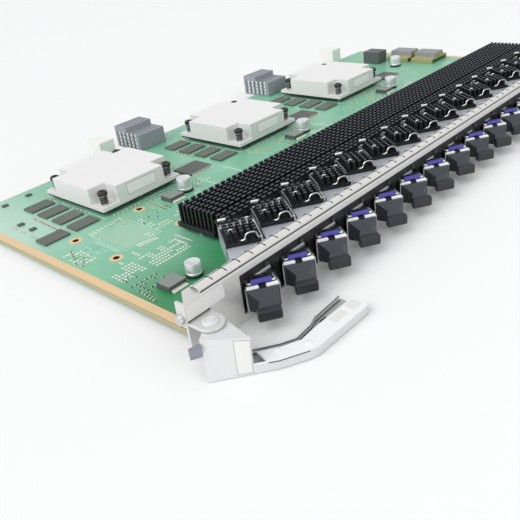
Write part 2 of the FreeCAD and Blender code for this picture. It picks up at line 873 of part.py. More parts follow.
def make_small_chips():
    """Interface chips, power packages, and the driver chips below the long heat sink."""
    chips = []
    for index in range(COOLER_COUNT):
        x = cooler_x(index) + S.cooler_width + S.memory_length / 2
        chips.append(box("interface_chip", (1.2 * S.memory_length, S.memory_length, S.chip_height),
                         (x, COOLER_FRONT, BOARD_TOP)))
        chips.append(box("power_chip", (S.memory_width, S.power_chip_depth, S.power_chip_height),
                         (cooler_x(index) + S.cooler_width / 2 + S.memory_gap,
                          COOLER_FRONT - 1.3 * S.memory_length, BOARD_TOP)))
    corner_x = BOARD_LEFT + 1.5 * S.power_chip_depth
    chips.append(box("power_chip", (S.memory_width, S.power_chip_depth, S.power_chip_height),
                     (corner_x, S.bottom_flange_depth + 2.2 * S.power_chip_depth, BOARD_TOP)))
    chips.append(box("inductor", (S.inductor_width, S.inductor_length, S.inductor_height),
                     (PANEL_END - S.board_inset - 3.2 * S.inductor_width,
                      COOLER_FRONT + S.cooler_depth - 1.4 * S.inductor_length, BOARD_TOP)))
    step = (long_sink_length() - 4 * S.standoff_radius) / DRIVER_COUNT
    for number in range(DRIVER_COUNT):
        middle = S.long_sink_inset - PANEL_END + 2 * S.standoff_radius + (number + 0.5) * step
        chips.append(box("driver_chip", (S.driver_size, S.driver_size, S.driver_height),
                         (middle - S.driver_size / 2,
                          S.long_sink_front + (S.long_sink_depth - S.driver_size) / 2, BOARD_TOP)))
    return group("small_chips", chips)


def can_places():
    """Middle of each aluminium can: by the panel's corner, and before and beside each cooler."""
    places = [(BOARD_LEFT + 2 * S.memory_length, S.bottom_flange_depth + 1.5 * S.memory_length)]
    for index in range(COOLER_COUNT):
        right = cooler_x(index) + S.cooler_width
        places.append((right - 0.9 * S.can_foot, COOLER_FRONT - 1.5 * S.can_foot))
    places.append((PANEL_END - S.board_inset - 4.6 * S.can_foot, COOLER_FRONT + 2 * S.can_foot))
    return places


def make_capacitors():
    """Aluminium can capacitors, each on its square foot."""
    half = S.can_foot / 2
    foot = box("can_foot", (S.can_foot, S.can_foot, S.can_foot_height), (-half, -half, 0))
    can = rod("can_body", S.can_radius, S.can_height, (0, 0, S.can_foot_height))
    model = fuse("can_model", [foot, can])
    return group("capacitors", [put(copy_of(model, "capacitor"), x, y, BOARD_TOP)
                                for x, y in can_places()])


def rear_y(depth, overhang):
    """Front of a piece that stands on the rear edge and overhangs it."""
    return BOARD_BACK + overhang - depth


def make_backplane_connectors():
    """Dark receptacles at the rear edge: a block on the board, a nose behind it, slots in its rear."""
    nose_rise = S.connector_height / 4
    w, d = S.connector_width, S.connector_depth
    block = box("connector_block", (w, d, S.connector_height), (0, 0, 0))
    slot = S.connector_slot
    cuts = [box("connector_step", (w, S.connector_depth / 2, nose_rise),
                (0, 0, S.connector_height - nose_rise))]
    for column in range(CONNECTOR_COLUMNS):
        for row in range(CONNECTOR_ROWS):
            cuts.append(box("connector_slot", (slot, 2 * slot, slot),
                            (w * (column + 0.5) / CONNECTOR_COLUMNS - slot / 2, d - 2 * slot,
                             nose_rise * (row + 0.5))))
    model = cut("connector_model", block, group("connector_cuts", cuts))
    connectors = []
    for index in range(REAR_PAIR):
        x = S.connector_first - PANEL_END + index * S.connector_pitch
        connectors.append(put(copy_of(model, "connector"), x, rear_y(d, S.connector_overhang), BOARD_TOP))
    return group("backplane_connectors", connectors)


def make_guide_sockets():
    """Pale sockets that find the backplane's guide pins."""
    block = box("guide_block", (S.guide_width, S.guide_depth, S.guide_height), (0, 0, 0))
    bore = lying_rod("guide_bore", S.guide_bore, S.guide_depth / 2,
                     (S.guide_width / 2, S.guide_depth / 2, S.guide_height / 2))
    model = cut("guide_model", block, bore)
    sockets = []
    for index in range(REAR_PAIR):
        x = S.guide_first - PANEL_END + index * S.guide_pitch
        sockets.append(put(copy_of(model, "guide_socket"), x,
                           rear_y(S.guide_depth, S.connector_overhang), BOARD_TOP))
    return group("guide_sockets", sockets)


def make_power_modules():
    """Small converter boards with a core, in two rows by the far rear corner."""
    modules = []
    for row in range(POWER_ROWS):
        x = PANEL_END - S.board_inset - S.power_module_width - S.memory_gap
        y = COOLER_FRONT - S.can_foot + row * (S.power_module_depth + S.memory_gap)
        base = box("module_board", (S.power_module_width, S.power_module_depth, S.chip_height),
                   (x, y, BOARD_TOP + S.power_module_height / 4))
        leg_z = S.power_module_height / 4
        rim = S.memory_gap / 2
        legs = [box("module_leg", (rim, S.power_module_depth, leg_z), (x + inset, y, BOARD_TOP))
                for inset in (as_size(0), S.power_module_width - rim)]
        core = box("module_core", (S.power_module_width / 2, S.power_module_depth,
                                   S.power_module_height * 0.6),
                   (x + S.power_module_width / 4, y, BOARD_TOP + leg_z))
        modules.append(fuse("power_module", [base, core, *legs]))
    return group("power_modules", modules)


# Ejector levers

# Corners of the lever's plan that no other piece shares, about the pivot
WEB_FOOT = [(-12.1, -8.0), (0.2, -18.1)]
WEB_HEAD = [(-8.5, -3.2), (2.0, -16.8)]
LEVER_NOSE = [(-9.6, -5.2), (-13.4, -3.2), (-13.0, -2.3), (-8.4, -3.4)]
LEVER_SHOULDER = (4.6, -4.4)
HANDLE_BEND = (7.0, -23.6)
FLOOR_INNER = [(33.4, -16.4), (28.9, -18.1), (19.8, -18.9), (14.9, -16.2), (11.4, -11.4), (6.9, -8.2),
               (2.2, -9.4)]
WALL_FOOT = [(7.6, -22.8), (0.9, -17.4)]
FLANGE_START = (4.2, -21.3)
FLANGE_INNER = [(29.7, -20.4), (20.0, -21.0), (13.4, -17.8), (6.2, -12.4)]
LOCK_LINE = [(4.4, -10.6), (14.3, -17.9), (19.8, -20.6), (28.7, -19.7), (32.9, -18.1)]


def handle_outer():
    """Outer edge of the handle, from the lever's root to its end, about the pivot."""
    reach = S.handle_reach
    return [WEB_FOOT[1], HANDLE_BEND, (16.7, 1.1 - reach), (20.2, -reach),
            (S.handle_end - 1.5, -reach)]


def with_inside(line, gauge):
    """The lever web's outer line, and back along its inner side."""
    inside = [(x + 0.67 * gauge, y + 0.74 * gauge) for x, y in line]
    return [*line, *reversed(inside)]


def lock_line():
    """Outer side of the lock strip, from its eye to the end of the handle."""
    return LOCK_LINE + [(S.handle_end - 1.2, -17.2)]


def make_lever_left():
    """Folded sheet lever: a plate below the ear, a tall leaning web, and a low hollow handle."""
    g = S.lever_gauge
    top = LEVER_PLATE_TOP
    r = S.ear_radius - S.panel_gauge
    tail = prism("plate_tail", [*WEB_HEAD, LEVER_SHOULDER, (r, 0), (-r, 0)], top - g, g)
    plate = fuse("lever_plate", [tail, rod("plate_round", r, g, (0, 0, top - g))])
    web = leaning("lever_web", with_inside(WEB_FOOT, g), S.lever_foot, with_inside(WEB_HEAD, g), top)
    nose_top = top - g
    nose = prism("lever_nose", LEVER_NOSE, nose_top * 2 / 3, nose_top / 3)
    outer = handle_outer()
    end = [(S.handle_end, 1.5 - S.handle_reach), (S.handle_end, -15.6)]
    floor = prism("handle_floor", [*outer, *end, *FLOOR_INNER, WALL_FOOT[-1]], S.lever_foot, g)
    wall_in = [(S.handle_end - 1.5, g - S.handle_reach), (20.4, g - S.handle_reach),
               (17.1, 2.1 - S.handle_reach), *WALL_FOOT]
    wall = prism("handle_wall", [*outer, *wall_in], S.lever_foot, S.handle_top - S.lever_foot)
    gap = S.lock_gap
    flange = prism("handle_flange",
                   [FLANGE_START, *outer[1:], end[0], (S.handle_end, S.handle_width - S.handle_reach),
                    *[(x, y - gap) for x, y in FLANGE_INNER]],
                   S.handle_top - g, g)
    end_wall = prism("handle_end_wall",
                     [(S.handle_end - g, 1.5 - S.handle_reach), end[0],
                      (S.handle_end, S.handle_width - S.handle_reach),
                      (S.handle_end - g, S.handle_width - S.handle_reach)],
                     S.lever_foot, S.handle_top - S.lever_foot)
    eye_x, eye_y = LOCK_LINE[0]
    stud = rod("lock_stud", S.stud_radius, S.handle_top - S.lever_foot - g,
               (eye_x, eye_y, S.lever_foot + g))
    blank = fuse("lever_blank", [plate, web, nose, floor, wall, flange, end_wall, stud])
    hole = rod("lever_hole", S.rivet_radius + S.rivet_clearance, g, (0, 0, top - g))
    return put(cut("ejector_lever_left", blank, hole), PIVOT_X, PIVOT_Y, 0)


def make_lock_left():
    """Thin sprung strip in the handle, which turns on a stud by the lever's root."""
    g = S.lock_gauge
    level = S.lever_foot + S.lever_gauge + S.lever_gap
    height = S.handle_top - level
    line = lock_line()
    inner = [(x, y + g) for x, y in line]
    strip = prism("lock_strip", [*line, *reversed(inner)], level, height)
    eye_x, eye_y = LOCK_LINE[0]
    bore = S.stud_radius + S.rivet_clearance
    eye = rod("lock_eye", bore + 0.8 * g, height, (eye_x, eye_y, level))
    blank = fuse("lock_blank", [strip, eye])
    hole = rod("lock_bore", bore, height, (eye_x, eye_y, level))
    return put(cut("lever_lock_left", blank, hole), PIVOT_X, PIVOT_Y, 0)


def mirrored(name, source):
    """The same piece for the other end of the panel."""
    copy = doc.addObject("Part::Mirroring", name)
    copy.Source = source
    copy.Normal = FreeCAD.Vector(1, 0, 0)
    return copy


def make_lever_rivets():
    """Pivot rivets: a head on the ear, a shank through the lever, and a head below it."""
    rivets = []
    r = S.rivet_head_radius
    lower = LEVER_PLATE_TOP - S.lever_gauge - S.lever_gap - S.rivet_head_height
    for side in (-1, 1):
        x = -side * PIVOT_X
        shank = rod("rivet_shank", S.rivet_radius, S.ear_top - lower, (x, PIVOT_Y, lower))
        cap = rod("rivet_cap", r, S.rivet_head_height, (x, PIVOT_Y, S.ear_top))
        tail = rod("rivet_tail", r, S.rivet_head_height, (x, PIVOT_Y, lower))
        rivets.append(fuse("lever_rivet", [shank, cap, tail]))
    return group("lever_rivets", rivets)


def make_panel_screws():
    """Screws down through the board into the panel's seats, and one in each end flange."""
    screws = []
    for x, y in panel_screw_places():
        shank = rod("panel_screw_shank", S.panel_screw_radius, BOARD_TOP - S.panel_gauge / 2,
                    (x, y, S.panel_gauge / 2))
        head = rod("panel_screw_head", S.panel_screw_head_radius, S.panel_screw_head_height,
                   (x, y, BOARD_TOP))
        screws.append(fuse("panel_screw", [shank, head]))
    for side in (-1, 1):
        head = rod("end_screw_head", S.end_screw_head_radius, S.panel_screw_head_height, (0, 0, 0))
        head.Placement.Rotation = FreeCAD.Rotation(FreeCAD.Vector(0, 1, 0), 90 * side)
        screws.append(put(head, side * PANEL_END, S.end_screw_setback, S.end_screw_level))
    return group("panel_screws", screws)


def make_all():
    """Every sub-part, in the order in which the board is put together."""
    lever = make_lever_left()
    lock = make_lock_left()
    parts = [make_circuit_board(), make_front_panel(), make_emi_gasket(), make_port_bezel(),
             make_light_pipes(), make_transceiver_cages(), make_cage_heat_sinks(),
             make_heat_sink_clips(), make_long_heat_sink(), make_sink_standoffs(), make_coolers(),
             make_cooler_screws(), make_cooler_springs(), make_cooler_nuts(), make_processors(),
             make_thermal_pads(), make_memory_chips(), make_small_chips(), make_capacitors(),
             make_backplane_connectors(), make_guide_sockets(), make_power_modules(),
             lever, mirrored("ejector_lever_right", lever),
             lock, mirrored("lever_lock_right", lock),
             make_lever_rivets(), make_panel_screws()]
    parts.extend(one_per_port(model_transceiver(), "transceiver"))
    parts.extend(one_per_port(model_dust_plug(), "dust_plug"))
    return parts


def check(parts):
    """Stop on any object that failed, and on any sub-part without a sound shape."""
    for item in doc.Objects:
        if "Invalid" in item.State or "Error" in item.State:
            raise RuntimeError(f"{item.Label} failed to build: {item.State}")
    for part in parts:
        if part.Shape.isNull() or not part.Shape.isValid():
            raise RuntimeError(f"{part.Label} has no sound shape")


def write(parts):
    os.makedirs("parts", exist_ok=True)
    for part in parts:
        part.Shape.exportStep(os.path.join("parts", f"{part.Label}.step"))


def main():
    parts = make_all()
    for part in parts:
        part.Label = part.Name
    doc.recompute()
    check(parts)
    write(parts)
    print(len(parts), "sub-parts written")


main()
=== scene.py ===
# %% [markdown]
# # Dressing a plug-in optical line card
# The card is a green circuit board behind a folded metal panel. Sixteen slanted ports hold plug-in
# optical modules, each closed by a rubber plug, and two sheet levers push the card out of its slot.
# The solid model gives every size and every motion. This lesson adds what the eye looks for: rounded
# edges, wire, coils, solder, small parts by the hundred, and a finish for each surface.

# %% Load the solid model as a fixed frame
import math
import random

import bpy
from mathutils import Matrix, Vector


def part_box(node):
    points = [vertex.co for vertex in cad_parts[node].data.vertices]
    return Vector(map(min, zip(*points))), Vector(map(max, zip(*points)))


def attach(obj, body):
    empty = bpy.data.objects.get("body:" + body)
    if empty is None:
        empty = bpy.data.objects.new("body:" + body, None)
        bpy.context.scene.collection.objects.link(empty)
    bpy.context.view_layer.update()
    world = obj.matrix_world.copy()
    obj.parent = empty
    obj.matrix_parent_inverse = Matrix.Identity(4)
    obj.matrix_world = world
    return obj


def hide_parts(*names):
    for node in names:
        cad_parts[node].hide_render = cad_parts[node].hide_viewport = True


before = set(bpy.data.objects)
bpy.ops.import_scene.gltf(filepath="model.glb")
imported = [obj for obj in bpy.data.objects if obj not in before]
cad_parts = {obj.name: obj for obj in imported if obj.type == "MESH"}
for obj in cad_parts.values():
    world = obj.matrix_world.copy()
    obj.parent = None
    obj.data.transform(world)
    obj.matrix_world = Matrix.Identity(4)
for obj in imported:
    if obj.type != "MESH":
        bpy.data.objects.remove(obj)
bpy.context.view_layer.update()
MM = 0.001


def corners(node):
    """The low and the high corner of a solid's box, in mm."""
    return [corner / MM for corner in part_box(node)]


def levels(node):
    """The lowest and the highest level of a solid, in mm."""
    return [corner.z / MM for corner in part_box(node)]


BOARD_TOP = levels("circuit_board")[1]
print("solid model loaded:", len(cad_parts), "nodes, board top at", round(BOARD_TOP, 2), "mm")

# %% [markdown]
# ## Working by hand, in code
# An operator works on whatever is selected, so each helper first selects one piece and nothing else.
# All lengths below are in millimetres and become metres on the way in, because the frame is in metres.

# %% Helpers for selecting and for simple blocks
# A face looks along an axis when its normal's share along that axis is above this.
FACING = 0.9


def alone(piece):
    """Select one piece only, in object mode."""
    if bpy.context.mode != "OBJECT":
        bpy.ops.object.mode_set(mode="OBJECT")
    bpy.ops.object.select_all(action="DESELECT")
    piece.select_set(True)
    bpy.context.view_layer.objects.active = piece


def edit_all(piece):
    """Enter edit mode with all of a piece selected."""
    alone(piece)
    bpy.ops.object.mode_set(mode="EDIT")
    bpy.ops.mesh.select_all(action="SELECT")


def choose_faces(piece, test):
    """Enter edit mode with the faces selected whose centre (mm) and normal pass the test."""
    alone(piece)
    bpy.ops.object.mode_set(mode="EDIT")
    bpy.ops.mesh.select_mode(type="FACE")
    bpy.ops.mesh.select_all(action="DESELECT")
    bpy.ops.object.mode_set(mode="OBJECT")
    for face in piece.data.polygons:
        face.select = bool(test(face.center / MM, face.normal))
    bpy.ops.object.mode_set(mode="EDIT")


def done_editing():
    bpy.ops.object.mode_set(mode="OBJECT")


def cut(piece, places, normal):
    """Cut all of a piece along a plane through each place (mm), and keep both sides."""
    for place in places:
        edit_all(piece)
        bpy.ops.mesh.bisect(plane_co=[value * MM for value in place], plane_no=normal)
        done_editing()


def placed(name):
    """Name the primitive just added, and put its place and size into its mesh."""
    piece = bpy.context.object
    piece.name = name
    bpy.ops.object.transform_apply(location=True, rotation=True, scale=True)
    return piece


def block(name, low, high):
    """A cuboid between two corners."""
    low, high = Vector(low), Vector(high)
    bpy.ops.mesh.primitive_cube_add(size=1, location=(low + high) / 2 * MM, scale=(high - low) * MM)
    return placed(name)


def rod(name, radius, low, high, sides=24):
    """A round bar from one point to another."""
    low, high = Vector(low), Vector(high)
    along = high - low
    turn = along.to_track_quat("Z", "Y").to_euler()
    bpy.ops.mesh.primitive_cylinder_add(vertices=sides, radius=radius * MM, depth=along.length * MM,
                                        location=(low + high) / 2 * MM, rotation=turn)
    return placed(name)


# %% Helpers that finish, join and copy pieces
SMOOTH_BELOW = math.radians(32)
FLAT_BELOW = math.radians(1)
MERGE_BELOW = 0.002


def smooth(piece):
    alone(piece)
    bpy.ops.object.shade_smooth_by_angle(angle=SMOOTH_BELOW)
    return piece


def even_faces(piece):
    """Let flat faces stay flat to the eye, so that only the rounded edges shade from one to the next."""
    alone(piece)
    weighted = piece.modifiers.new("even_faces", "WEIGHTED_NORMAL")
    weighted.keep_sharp = True
    bpy.ops.object.modifier_apply(modifier=weighted.name)
    return piece


def soften(piece, width, segments=2):
    """Round every sharp edge, as a press, a mould or a tumbler does."""
    alone(piece)
    bevel = piece.modifiers.new("soft_edges", "BEVEL")
    bevel.width = width * MM
    bevel.segments = segments
    bevel.limit_method = "ANGLE"
    bevel.angle_limit = SMOOTH_BELOW
    bpy.ops.object.modifier_apply(modifier=bevel.name)
    return even_faces(smooth(piece))


def joined(name, pieces):
    alone(pieces[0])
    for piece in pieces:
        piece.select_set(True)
    if len(pieces) > 1:
        bpy.ops.object.join()
    pieces[0].name = name
    return pieces[0]


def linked(name, data):
    """A new object in the scene, for a mesh, a curve or a camera."""
    piece = bpy.data.objects.new(name, data)
    bpy.context.collection.objects.link(piece)
    return piece


def copy_at(master, name, place):
    """One more of a modelled piece, with a mesh of its own moved to its place."""
    mesh = master.data.copy()
    mesh.transform(place)
    return linked(name, mesh)


def copies(master, name, places):
    """A joined row of copies. The master goes away."""
    row = [copy_at(master, name, place) for place in places]
    bpy.data.objects.remove(master)
    return joined(name, row)


def shift(x, y, z=0.0):
    return Matrix.Translation(Vector((x, y, z)) * MM)


def node_copy(node, name, width=0.0, segments=2):
    """A solid's own shape as a piece: triangles merged to flat faces, then edges rounded."""
    piece = copy_at(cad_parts[node], name, Matrix.Identity(4))
    alone(piece)
    bpy.ops.mesh.customdata_custom_splitnormals_clear()
    edit_all(piece)
    bpy.ops.mesh.remove_doubles(threshold=MERGE_BELOW * MM)
    bpy.ops.mesh.dissolve_limited(angle_limit=FLAT_BELOW)
    done_editing()
    return soften(piece, width, segments) if width else smooth(piece)


# %% [markdown]
# ## One grain for many finishes
# Rolled sheet, moulded plastic and paint all vary a little: in tone, in gloss and in relief. One node
# group makes that variation from noise. Each finish gives it two tones, two roughness values and a
# stretch of its own, so brushed steel gets long streaks and moulded plastic a fine even grain.

# %% Helpers for shader nodes
# A Mix node has sockets for each kind of data. These are the ones for colours.
COLOUR_A, COLOUR_B, COLOUR_RESULT = 6, 7, 2


def add_node(tree, kind, inputs, **settings):
    """A shader node with its settings. Each input is given a value or the output of another node."""
    node = tree.nodes.new("ShaderNode" + kind)
    for name, value in settings.items():
        setattr(node, name, value)
    for name, value in inputs.items():
        if isinstance(value, bpy.types.NodeSocket):
            tree.links.new(value, node.inputs[name])
        else:
            node.inputs[name].default_value = value
    return node


def calculated(tree, operation, *values):
    return add_node(tree, "Math", dict(enumerate(values)), operation=operation).outputs[0]


def mixed(tree, factor, first, second):
    """A colour between two others."""
    inputs = {"Factor": factor, COLOUR_A: first, COLOUR_B: second}
    return add_node(tree, "Mix", inputs, data_type="RGBA").outputs[COLOUR_RESULT]


def ramp(tree, value, start, full, shape="LINEAR"):
    """A rise from 0 to 1 while a value goes from its start to its full measure."""
    inputs = {"Value": value, "From Min": start, "From Max": full}
    return add_node(tree, "MapRange", inputs, interpolation_type=shape).outputs["Result"]


# %% The grain group
FINE_DETAIL, BROAD_SCALE = 4.0, 40.0
FINE_SHARE, BROAD_SHARE = 0.6, 0.4
NOISE_LOW, NOISE_HIGH = 0.3, 0.7
GRAIN_INPUTS = {"Vector": "Vector", "Scale": "Float", "Rough Low": "Float", "Rough High": "Float",
                "Tone A": "Color", "Tone B": "Color"}
GRAIN_OUTPUTS = {"Color": "Color", "Roughness": "Float", "Height": "Float"}


def make_grain_group():
    group = bpy.data.node_groups.new("surface_grain", "ShaderNodeTree")
    for side, sockets in (("INPUT", GRAIN_INPUTS), ("OUTPUT", GRAIN_OUTPUTS)):
        for name, kind in sockets.items():
            group.interface.new_socket(name, in_out=side, socket_type="NodeSocket" + kind)
    given = group.nodes.new("NodeGroupInput").outputs
    results = group.nodes.new("NodeGroupOutput").inputs
    place = given["Vector"]
    fine_inputs = {"Vector": place, "Scale": given["Scale"], "Detail": FINE_DETAIL}
    fine = add_node(group, "TexNoise", fine_inputs).outputs["Fac"]
    broad = add_node(group, "TexNoise", {"Vector": place, "Scale": BROAD_SCALE}).outputs["Fac"]
    broad_part = calculated(group, "MULTIPLY", broad, BROAD_SHARE)
    both = calculated(group, "MULTIPLY_ADD", fine, FINE_SHARE, broad_part)
    rough_inputs = {"Value": both, "From Min": NOISE_LOW, "From Max": NOISE_HIGH,
                    "To Min": given["Rough Low"], "To Max": given["Rough High"]}
    rough = add_node(group, "MapRange", rough_inputs).outputs["Result"]
    group.links.new(mixed(group, both, given["Tone A"], given["Tone B"]), results["Color"])
    group.links.new(rough, results["Roughness"])
    group.links.new(fine, results["Height"])
    return group


grain = make_grain_group()
print("grain group sockets:", len(grain.interface.items_tree))

# %% One finish from the grain
EVEN, ALONG_X, ALONG_Y, UPRIGHT = (1, 1, 1), (0.08, 1, 1), (1, 0.15, 1), (1, 1, 0.1)
RELIEF_DEPTH = 0.1


def linear(red, green, blue):
    """A screen colour, 0 to 255, as the linear colour a shader takes."""
    parts = [value / 255 for value in (red, green, blue)]
    return [part / 12.92 if part <= 0.04045 else ((part + 0.055) / 1.055) ** 2.4 for part in parts] + [1.0]


def finish(name, tone_a, tone_b, rough, scale, bump, metallic=0.0, stretch=EVEN):
    """A material whose tone, gloss and relief come from the grain group."""
    material = bpy.data.materials.new(name)
    material.use_nodes = True
    tree = material.node_tree
    shader = tree.nodes["Principled BSDF"].inputs
    shader["Metallic"].default_value = metallic
    place = add_node(tree, "TexCoord", {}).outputs["Object"]
    stretched = add_node(tree, "Mapping", {"Vector": place, "Scale": stretch}).outputs["Vector"]
    inputs = {"Vector": stretched, "Scale": scale, "Rough Low": rough[0], "Rough High": rough[1],
              "Tone A": linear(*tone_a), "Tone B": linear(*tone_b)}
    grained = add_node(tree, "Group", inputs, node_tree=grain).outputs
    inputs = {"Strength": bump, "Distance": RELIEF_DEPTH * MM, "Height": grained["Height"]}
    ear_line = add_node(tree, "Bump", inputs).outputs["Normal"]
    tree.links.new(grained["Color"], shader["Base Color"])
    tree.links.new(grained["Roughness"], shader["Roughness"])
    tree.links.new(ear_line, shader["Normal"])
    return material


def paint(piece, *materials):
    piece.data.materials.clear()
    for material in materials:
        piece.data.materials.append(material)
    return piece


def two_tone(piece, test):
    """Give the faces that pass a test the second of a piece's finishes."""
    for face in piece.data.polygons:
        face.material_index = 1 if test(face.center / MM, face.normal) else 0
    return piece


# %% Finishes for metal
panel_nickel = finish("panel_nickel", (226, 226, 223), (212, 212, 210),
                      (0.36, 0.48), 1500, 0.05, 0.6, ALONG_X)
gasket_steel = finish("gasket_steel", (230, 230, 227), (216, 216, 213), (0.2, 0.3), 1200, 0.03, 0.4, ALONG_X)
lever_nickel = finish("lever_nickel", (218, 219, 220), (208, 209, 210),
                      (0.34, 0.44), 1400, 0.03, 0.2, ALONG_Y)
# Painted light: a lighter copy of the lever's plating for the handle's top and the dimples.
lever_painted_light = finish("lever_painted_light", (238, 239, 240), (230, 231, 232),
                      (0.34, 0.44), 1400, 0.03, 0.1, ALONG_Y)
# Painted shade: a darker copy of the lever's plating for the handle's floor.
lever_painted_shade = finish("lever_painted_shade", (190, 191, 190), (178, 179, 178), (0.5, 0.6), 1400, 0.03, 0.2, ALONG_Y)
cage_steel = finish("cage_steel", (204, 207, 214), (190, 194, 202), (0.34, 0.46), 1000, 0.04, 0.4)
module_nickel = finish("module_nickel", (200, 202, 204), (176, 179, 182), (0.16, 0.26), 900, 0.02, 1.0)
wire_steel = finish("wire_steel", (236, 236, 236), (220, 220, 220), (0.16, 0.26), 1500, 0.02, 0.8)
# Black anodising for the heat sinks; also painted shade on the clips' crest legs.
black_anodised = finish("black_anodised", (18, 19, 24), (11, 12, 16), (0.4, 0.52), 1400, 0.06)
# Painted highlight: a lighter grey for the top ends of the black pins.
pin_painted_highlight = finish("pin_painted_highlight", (54, 60, 70), (38, 43, 52), (0.34, 0.46), 1400, 0.06)
cooler_aluminium = finish("cooler_aluminium", (234, 234, 232), (227, 227, 226), (0.5, 0.62), 1800, 0.05, 0.2)
screw_black = finish("screw_black", (46, 46, 48), (30, 30, 32), (0.3, 0.42), 1400, 0.04)
screw_steel = finish("screw_steel", (216, 216, 214), (196, 196, 194), (0.26, 0.38), 1400, 0.03, 0.9)
can_aluminium = finish("can_aluminium", (236, 240, 240), (222, 226, 227),
                       (0.3, 0.42), 1000, 0.03, 0.6, UPRIGHT)
solder_tin = finish("solder_tin", (244, 243, 230), (226, 225, 212), (0.3, 0.42), 2500, 0.06, 0.3)
guide_copper = finish("guide_copper", (234, 198, 164), (214, 190, 138), (0.4, 0.52), 70, 0.04, 0.15)
hole_copper = finish("hole_copper", (124, 62, 42), (88, 44, 32), (0.4, 0.52), 1800, 0.04, 0.3)

# %% Finishes for plastic, rubber and paper
bezel_black = finish("bezel_black", (26, 26, 28), (16, 16, 18), (0.38, 0.5), 1400, 0.06)
plug_rubber = finish("plug_rubber", (60, 64, 70), (50, 54, 60), (0.26, 0.36), 1600, 0.02)
# Painted shade: a darker copy of the plug rubber for the plugs' left sides and fronts.
plug_painted_shade = finish("plug_painted_shade", (36, 39, 44), (28, 31, 35), (0.3, 0.4), 1600, 0.02)
bail_blue = finish("bail_blue", (72, 70, 158), (56, 54, 138), (0.34, 0.44), 1500, 0.05)
# White for the module lips and the cooler labels; also a painted highlight on the clips' bars.
white_and_highlight = finish("white_and_highlight", (246, 246, 246), (238, 238, 238), (0.4, 0.5), 1500, 0.03)
chip_black = finish("chip_black", (92, 97, 94), (74, 79, 76), (0.42, 0.56), 2500, 0.12)
power_grey = finish("power_grey", (138, 145, 139), (122, 129, 123), (0.42, 0.56), 2500, 0.12)
memory_grey = finish("memory_grey", (102, 107, 99), (82, 87, 80), (0.45, 0.6), 2500, 0.12)
connector_grey = finish("connector_grey", (154, 158, 165), (134, 138, 145), (0.4, 0.52), 1600, 0.06)
guide_cream = finish("guide_cream", (236, 235, 231), (226, 225, 220), (0.42, 0.54), 1600, 0.05)
core_ferrite = finish("core_ferrite", (172, 168, 118), (146, 142, 98), (0.5, 0.64), 2000, 0.12)
label_paper = finish("label_paper", (222, 222, 220), (215, 215, 213), (0.44, 0.54), 2200, 0.04)
# Painted shade: a grey rim just round a label, for the shadow at its edge.
label_edge_shade = finish("label_edge_shade", (176, 177, 178), (160, 161, 162), (0.5, 0.6), 2200, 0.04)
# Dark for the gasket's slits, and painted shade for lines at folds and edges, under the coolers and on the
# lock strips.
joint_and_shade_dark = finish("joint_and_shade_dark", (44, 45, 48), (32, 33, 36), (0.5, 0.6), 2200, 0.04)
# Painted shade: a dim grey for the lever's nose and the clips' side wires.
painted_shade_grey = finish("painted_shade_grey", (146, 148, 160), (132, 134, 146), (0.4, 0.5), 1400, 0.03, 0.3)
ceramic_tan = finish("ceramic_tan", (176, 152, 126), (142, 120, 98), (0.4, 0.52), 3000, 0.05)
silk_white = finish("silk_white", (222, 240, 230), (208, 230, 219), (0.5, 0.6), 3000, 0.03)
bare_laminate = finish("bare_laminate", (158, 198, 172), (146, 188, 162), (0.3, 0.42), 300, 0.03)
ball_tin = finish("ball_tin", (184, 208, 190), (168, 194, 176), (0.34, 0.46), 2500, 0.04, 0.2)
pad_grey = finish("pad_grey", (150, 152, 156), (132, 134, 138), (0.6, 0.75), 1500, 0.08)
pipe_clear = finish("pipe_clear", (72, 75, 78), (56, 59, 62), (0.3, 0.4), 1200, 0.02)
print("finishes made:", len(bpy.data.materials))

# %% [markdown]
# ## The solder mask
# The board's green is a glossy lacquer over copper. Where copper runs below, the green is lighter,
# and the copper follows straight lanes in patches. A painted picture would do, but a pattern stays
# sharp at any distance. Cells of a Manhattan Voronoi pattern give the patches, and in each cell a
# wave pattern gives lanes along X or along Y. Near the ports there is little copper, so the green is
# deep there. It pales towards the middle, and a pale haze of light is painted over the rear left corner.

# %% Solder mask and laminate
COPPER_STARTS, COPPER_FULL = 32.0, 80.0
# Where the painted haze of light starts and where it is full, along X and along Y.
HAZE_LEFT, HAZE_BACK = (-135.0, -190.0), (95.0, 150.0)
PATCH_SCALE, LANE_SCALE, LAYER_SCALE = 95.0, 260.0, 420.0
LANE_EDGE = (0.45, 0.6)
LANE_STRENGTH = 0.55
DEEP_GREEN, LANE_GREEN, HAZE_GREEN = (36, 132, 78), (148, 206, 178), (176, 208, 192)
LACQUER, LACQUER_ROUGH = 0.35, 0.3


